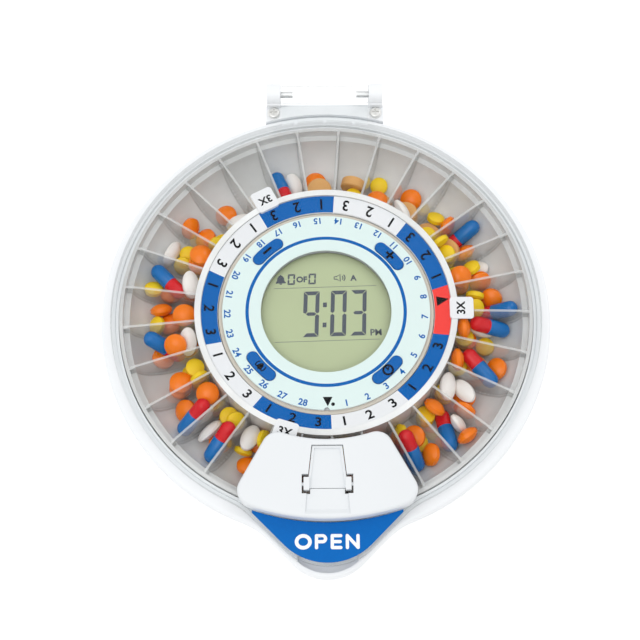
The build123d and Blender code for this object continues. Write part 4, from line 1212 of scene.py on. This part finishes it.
def cell_jacket(name):
    """Dark sleeve of the cells with a copper-coloured end."""
    n = Nodes(name)
    sleeve = 0.017
    along = n.add("ShaderNodeSeparateXYZ", None, Vector=n.place()).outputs["Y"]
    band = n.math("LESS_THAN", n.math("ABSOLUTE", along), sleeve)
    tone = n.mix(band, (0.45, 0.32, 0.12, 1), (0.03, 0.045, 0.06, 1))
    return n.surface(Base_Color=tone, Roughness=0.28, Metallic=0.35)


def contact_plates(material):
    """Battery contacts: a plate with a coil spring at each end of each cell."""
    thick, clearance = 0.0004, 0.0003
    points = bpy.data.meshes.new("contact_springs")
    places, directions = [], []
    bm = bmesh.new()
    for low, high in islands("battery_contacts"):
        wall, inside = (high[1], -1) if high[1] > 0 else (low[1], 1)
        face = wall + inside * thick
        near, far = sorted((wall, face))
        prism(bm, [(low[0], near), (high[0], near), (high[0], far), (low[0], far)], low[2], high[2])
        places.append(((low[0] + high[0]) / 2, face, (low[2] + high[2]) / 2))
        directions += [0, inside, 0]
    coil = abs(high[1] - low[1]) - thick - clearance
    points.from_pydata(places, [], [])
    points.attributes.new("direction", "FLOAT_VECTOR", "POINT").data.foreach_set("vector", directions)
    tree = coil_tree("Contact springs")
    springs = tree.run(
        plain_object("contact_springs", points), Turns=3.2, Length=coil, Material=material
    )
    bm.from_mesh(springs.data)
    bpy.data.objects.remove(springs)
    plates = from_bmesh("battery_contact_set", bm)
    smooth_by_angle(plates.data, 50)
    finish_piece(plates, "base", "nickel", material)
    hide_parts("battery_contacts")


# What lies in each compartment, from the first divider round:
# y yellow, o orange, w white, t tan, c capsule.
FILLING = (
    "oywoyo ocytyy tyyo oytw toy wyt oyt ywc "
    "yw yow yooy ooywyo oyoycw yoyooo oocywo "
    "yooyyy oywoco ooyycw oyowy yoyo oyw yow "
    "oocywo yoyocy ycwoyo oyywow yooyco oywcyo ocyoyy"
).split()


def tablet_profile(diameter, thickness, band, steps=5):
    """Half outline of a pressed tablet: flat band, rounded faces."""
    radius = diameter / 2
    half = thickness / 2
    profile = [(0, -half)]
    for i in range(1, steps + 1):
        x = i / steps
        profile.append((radius * x, -half + (half - band / 2) * x ** 2.4))
    profile += [(r, -z) for r, z in profile[::-1] if r]
    profile.append((0, half))
    return profile


def capsule_parts(bm, length_, diameter, place):
    """Two-part capsule: narrower body and wider cap, with material 0 and 1."""
    r, h = diameter / 2, length_ / 2
    body = r * 0.965
    overlap, rim, rim_bevel, steps = 0.0012, -0.0016, 0.0002, 20
    low = [(0, -h)]
    for a in range(15, 91, 15):
        low.append((body * sin(radians(a)), -h + body - body * cos(radians(a))))
    low += [(body, overlap), (0, overlap)]
    high = [(0, rim), (body, rim), (r, rim + rim_bevel)]
    for a in range(0, 76, 15):
        high.append((r * cos(radians(a)), h - r + r * sin(radians(a))))
    high.append((0, h))
    lathe(bm, low, steps, place, 0)
    lathe(bm, high, steps, place, 1)


def tablet_kinds(tray):
    """Length, width and thickness of each kind of tablet, in metres."""
    return {
        "y": (tray.tablet_diameter, tray.tablet_diameter, 0.0040),
        "o": (tray.dragee_diameter, tray.dragee_diameter, 0.0058),
        "w": (tray.caplet_length, 0.0076, 0.0052),
        "t": (tray.large_tablet_diameter, tray.large_tablet_diameter, 0.0046),
        "c": (tray.capsule_diameter, tray.capsule_diameter, tray.capsule_length),
    }


def add_tablet(bm, kind, size, place):
    """Adds a tablet or capsule of one kind, centred on the place."""
    length_, width, thick = size
    if kind == "c":
        capsule_parts(bm, thick, length_, place)
    elif kind == "t":
        r, h, e = length_ / 2, thick / 2, 0.0005
        lathe(bm, [(0, -h), (r - e, -h), (r, -h + e), (r, h - e), (r - e, h), (0, h)], 32, place)
    else:
        shape = place @ Matrix.Diagonal((1.0, width / length_, 1.0, 1.0))
        band = {"y": 0.0018, "o": 0.0016, "w": 0.0014}[kind]
        lathe(bm, tablet_profile(length_, thick, band), 28, shape)


def settings(thing, **values):
    """Sets several properties of a thing in the order in which they are named."""
    for name, value in values.items():
        setattr(thing, name, value)


def lane_walls(floor_line, hub, outer, pitch, gap):
    """Floor, sides, hub and outer wall of one compartment, with its outward direction along X."""
    foot, up = 0.020, Vector((0, 0, 0.075))
    spill, behind_hub, before_wall = 0.002, 0.004, 0.004
    bm = bmesh.new()

    def upright_wall(a, b):
        bm.faces.new([bm.verts.new(p) for p in (a, b, b + up, a + up)])

    def side_wall(radius, side):
        return Vector((radius, side * (radius * sin(pitch / 2) - gap) / cos(pitch / 2), foot))

    for (r0, z0), (r1, z1) in zip(floor_line, floor_line[1:]):
        corners = [(r0, -1, z0), (r0, 1, z0), (r1, 1, z1), (r1, -1, z1)]
        verts = [bm.verts.new((r, side * (r * tan(pitch / 2) + spill), z)) for r, side, z in corners]
        bm.faces.new(verts)
    for side in (-1, 1):
        a, b = side_wall(hub - behind_hub, side), side_wall(outer, side)
        upright_wall(*((a, b) if side < 0 else (b, a)))
    upright_wall(*(Vector((hub + 0.0002, y, foot)) for y in (0.009, -0.009)))
    upright_wall(*(Vector((outer - before_wall, y, foot)) for y in (-0.014, 0.014)))
    return bm


def settle(tray):
    """Drops the tablets of every compartment and lets them come to rest against the hub.

    All compartments are simulated side by side with their outward direction along X, at ten
    times the size of the real thing. Gravity leans towards the hub, as when the tray is filled."""
    scene = bpy.context.scene
    scale, spacing, frames = 10.0, 0.6, 110
    lowest, highest = 0.024, 0.0475  # a tablet's middle comes to rest between these heights
    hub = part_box("tray_hub")[1].x
    floor_line = divider_profile()[1]
    pitch = 2 * pi / tray.compartments
    outer = floor_line[-1][0] + 0.003
    bpy.ops.rigidbody.world_add()
    world = scene.rigidbody_world
    world.time_scale = 1.0
    world.substeps_per_frame = 12
    world.solver_iterations = 20
    gathered = bpy.data.collections.new("tablets in the tray")
    world.collection = gathered
    scene.gravity = (-2.6, 0.0, -9.4)
    sizes = tablet_kinds(tray)
    made, moving = [], []
    for lane, kinds in enumerate(FILLING[: tray.compartments]):
        obj = from_bmesh("lane", lane_walls(floor_line, hub, outer, pitch, tray.divider_thickness / 2))
        obj.data.transform(Matrix.Translation((0, lane * spacing, 0)) @ Matrix.Scale(scale, 4))
        gathered.objects.link(obj)
        settings(obj.rigid_body, type="PASSIVE", collision_shape="MESH", friction=0.35)
        settings(obj.rigid_body, use_margin=True, collision_margin=0.001)
        made.append(obj)
        for i, kind in enumerate(kinds):
            bm = bmesh.new()
            add_tablet(bm, kind, sizes[kind], Matrix.Scale(scale, 4))
            obj = from_bmesh("tablet", bm)
            gathered.objects.link(obj)
            seed = (lane * 7 + i * 13) % 11 / 11.0
            radius, height = hub + 0.010 + 0.010 * seed, 0.034 + 0.0085 * i
            obj.location = (radius * scale, lane * spacing + (seed - 0.5) * 0.02, height * scale)
            lying, swing = (radians(90), 0.5) if kind == "c" else (0.0, 6.0)
            obj.rotation_euler = (0.25 * seed, lying + 0.5 * (seed - 0.5), (seed - 0.5) * swing)
            settings(obj.rigid_body, type="ACTIVE", collision_shape="CONVEX_HULL", mass=0.01)
            settings(obj.rigid_body, friction=0.3, restitution=0.0)
            settings(obj.rigid_body, linear_damping=0.15, angular_damping=0.3)
            settings(obj.rigid_body, use_margin=True, collision_margin=0.0005)
            moving.append((obj, kind, lane))
            made.append(obj)
    world.point_cache.frame_start, world.point_cache.frame_end = 1, frames
    for step in range(1, frames + 1):
        scene.frame_set(step)
    graph = bpy.context.evaluated_depsgraph_get()
    resting = []
    for obj, kind, lane in moving:
        matrix = obj.evaluated_get(graph).matrix_world.copy()
        where = matrix.translation.copy()
        where.y -= lane * spacing
        matrix.translation = where / scale
        place = Matrix.Rotation(tray.first_divider + (lane + 0.5) * pitch, 4, "Z") @ matrix
        radius = sqrt(place.translation.x ** 2 + place.translation.y ** 2)
        if hub < radius < outer and lowest < place.translation.z < highest:
            resting.append((kind, place))
    bpy.ops.rigidbody.world_remove()
    scene.frame_set(1)
    for obj in made:
        mesh = obj.data
        bpy.data.objects.remove(obj)
        bpy.data.meshes.remove(mesh)
    bpy.data.collections.remove(gathered)
    print("tablets at rest", len(resting), "of", len(moving))
    return resting


class DISPENSER_OT_tablets(bpy.types.Operator):
    """Fill the compartments with tablets and capsules that have come to rest"""

    bl_idname = "dispenser.tablets"
    bl_label = "Tablets"

    def execute(self, context):
        tray = context.scene.dispenser_tray
        materials = {
            "y": [speckled("Yellow tablets", tray.yellow, (0.75, 0.20, 0.002), 900.0, 0.5)],
            "o": [coated("Orange tablets", tray.orange)],
            "w": [speckled("White tablets", tray.cream, (0.80, 0.75, 0.70), 1200.0, 0.42, 0.00005)],
            "t": [speckled("Tan tablets", tray.tan, (0.42, 0.16, 0.03), 1300.0, 0.75, 0.0003)],
            "c": [coated("Capsule body", tray.capsule_red), coated("Capsule cap", tray.capsule_blue)],
        }
        names = {
            "y": "tablets_yellow",
            "o": "tablets_orange",
            "w": "tablets_white",
            "t": "tablets_tan",
            "c": "capsules",
        }
        sizes = tablet_kinds(tray)
        resting = settle(tray)
        for kind, name in names.items():
            places = [place for found, place in resting if found == kind]
            if not places:
                continue
            bm = bmesh.new()
            for place in places:
                add_tablet(bm, kind, sizes[kind], place)
            obj = from_bmesh(name, bm)
            smooth_by_angle(obj.data, 38)
            finish_piece(obj, "tray", "", *materials[kind])
        return {"FINISHED"}


class DISPENSER_OT_stage(bpy.types.Operator):
    """Set up the pale floor, the soft light and the camera"""

    bl_idname = "dispenser.stage"
    bl_label = "Floor, light and camera"

    def execute(self, context):
        look = context.scene.dispenser_stage
        scene = context.scene
        scene.view_settings.view_transform = "Standard"
        bm = bmesh.new()
        reach, below = 3.0, -0.00002
        bm.faces.new([bm.verts.new((x, y, below)) for x, y in block(reach, reach)])
        floor = from_bmesh("floor", bm, normals=False)
        n = Nodes("Pale floor")
        rays = n.add("ShaderNodeLightPath").outputs
        reflected = n.math("MAXIMUM", rays["Is Glossy Ray"], rays["Is Transmission Ray"])
        seen = n.math("MAXIMUM", rays["Is Camera Ray"], reflected)
        n.surface(Base_Color=(0.92, 0.92, 0.92, 1), Roughness=0.9, Specular_IOR_Level=0.0)
        glow = n.math("MULTIPLY", seen, look.floor_lift)
        lift = n.add("ShaderNodeEmission", None, Color=(1, 1, 1, 1), Strength=glow)
        total = n.add("ShaderNodeAddShader")
        n.tree.links.new(n.shader.outputs[0], total.inputs[0])
        n.tree.links.new(lift.outputs[0], total.inputs[1])
        n.tree.links.new(total.outputs[0], n.output.inputs["Surface"])
        floor.data.materials.append(n.material)

        world = bpy.data.worlds.new("White surround")
        world.use_nodes = True
        scene.world = world
        tree = world.node_tree
        background = tree.nodes["Background"]
        background.inputs["Color"].default_value = (1, 1, 1, 1)
        rays = tree.nodes.new("ShaderNodeLightPath")
        mix = tree.nodes.new("ShaderNodeMix")
        mix.inputs[2].default_value, mix.inputs[3].default_value = look.world_strength, 1.0
        most = tree.nodes.new("ShaderNodeMath")
        most.operation = "MAXIMUM"
        tree.links.new(rays.outputs["Is Camera Ray"], most.inputs[0])
        tree.links.new(rays.outputs["Is Transmission Ray"], most.inputs[1])
        tree.links.new(most.outputs[0], mix.inputs["Factor"])
        tree.links.new(mix.outputs[0], background.inputs["Strength"])

        for name, place, size, power in (
            ("soft lamp overhead", (-0.25, -0.25, 1.0), 0.9, look.lamp_power),
            ("soft lamp at the back", (0.45, 0.6, 0.7), 0.5, look.lamp_power * 0.35),
        ):
            lamp = bpy.data.lights.new(name, "AREA")
            lamp.shape, lamp.size, lamp.energy = "DISK", size, power
            holder = bpy.data.objects.new(name, lamp)
            holder.location = place
            holder.rotation_euler = (-Vector(place)).to_track_quat("-Z", "Y").to_euler()
            scene.collection.objects.link(holder)

        aim = Vector((0, 0, top("dial_overlay")))
        flat = cos(look.elevation) * look.distance
        rise = sin(look.elevation) * look.distance
        back = Vector((sin(look.azimuth) * flat, -cos(look.azimuth) * flat, rise))
        camera = bpy.data.cameras.new("camera")
        camera.sensor_width, camera.lens = 36.0, look.lens
        camera.shift_x, camera.shift_y = -0.0096, -0.0155
        camera.clip_start, camera.clip_end = 0.05, 20.0
        holder = bpy.data.objects.new("camera", camera)
        holder.location = aim + back
        rolled = Matrix.Rotation(look.roll, 3, "Z").to_quaternion()
        holder.rotation_euler = (back.to_track_quat("Z", "Y") @ rolled).to_euler()
        scene.collection.objects.link(holder)
        scene.camera = holder
        return {"FINISHED"}


OPERATORS = (
    DISPENSER_OT_stage,
    DISPENSER_OT_white_mouldings,
    DISPENSER_OT_works,
    DISPENSER_OT_tray,
    DISPENSER_OT_dose_ring,
    DISPENSER_OT_dial,
    DISPENSER_OT_display,
    DISPENSER_OT_keys,
    DISPENSER_OT_tablets,
    DISPENSER_OT_clear_lid,
    DISPENSER_OT_door,
    DISPENSER_OT_label,
)


class DISPENSER_PT_panel(bpy.types.Panel):
    """Sidebar panel with the dispenser's sizes, colours and making steps"""

    bl_idname = "DISPENSER_PT_panel"
    bl_label = "Pill Dispenser"
    bl_space_type = "VIEW_3D"
    bl_region_type = "UI"
    bl_category = "Dispenser"

    def draw(self, context):
        layout = self.layout
        for group in GROUPS:
            box = layout.box()
            box.label(text=group.removeprefix("dispenser_").capitalize())
            values = getattr(context.scene, group)
            for name in values.bl_rna.properties.keys():
                if name not in ("rna_type", "name"):
                    box.prop(values, name)
        column = layout.column(align=True)
        for operator in OPERATORS:
            column.operator(operator.bl_idname)


GROUPS = {
    "dispenser_plastics": DispenserPlastics,
    "dispenser_print": DispenserPrint,
    "dispenser_display": DispenserDisplay,
    "dispenser_tray": DispenserTray,
    "dispenser_stage": DispenserStage,
}


def register():
    for cls in (*GROUPS.values(), *OPERATORS, DISPENSER_PT_panel):
        bpy.utils.register_class(cls)
    for name, cls in GROUPS.items():
        setattr(bpy.types.Scene, name, PointerProperty(type=cls))


def unregister():
    for name in GROUPS:
        delattr(bpy.types.Scene, name)
    for cls in (DISPENSER_PT_panel, *reversed(OPERATORS), *reversed(GROUPS.values())):
        bpy.utils.unregister_class(cls)


def main():
    """Registers the add-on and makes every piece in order."""
    register()
    for operator in OPERATORS:
        group, name = operator.bl_idname.split(".")
        getattr(getattr(bpy.ops, group), name)()


if __name__ == "__main__":
    main()
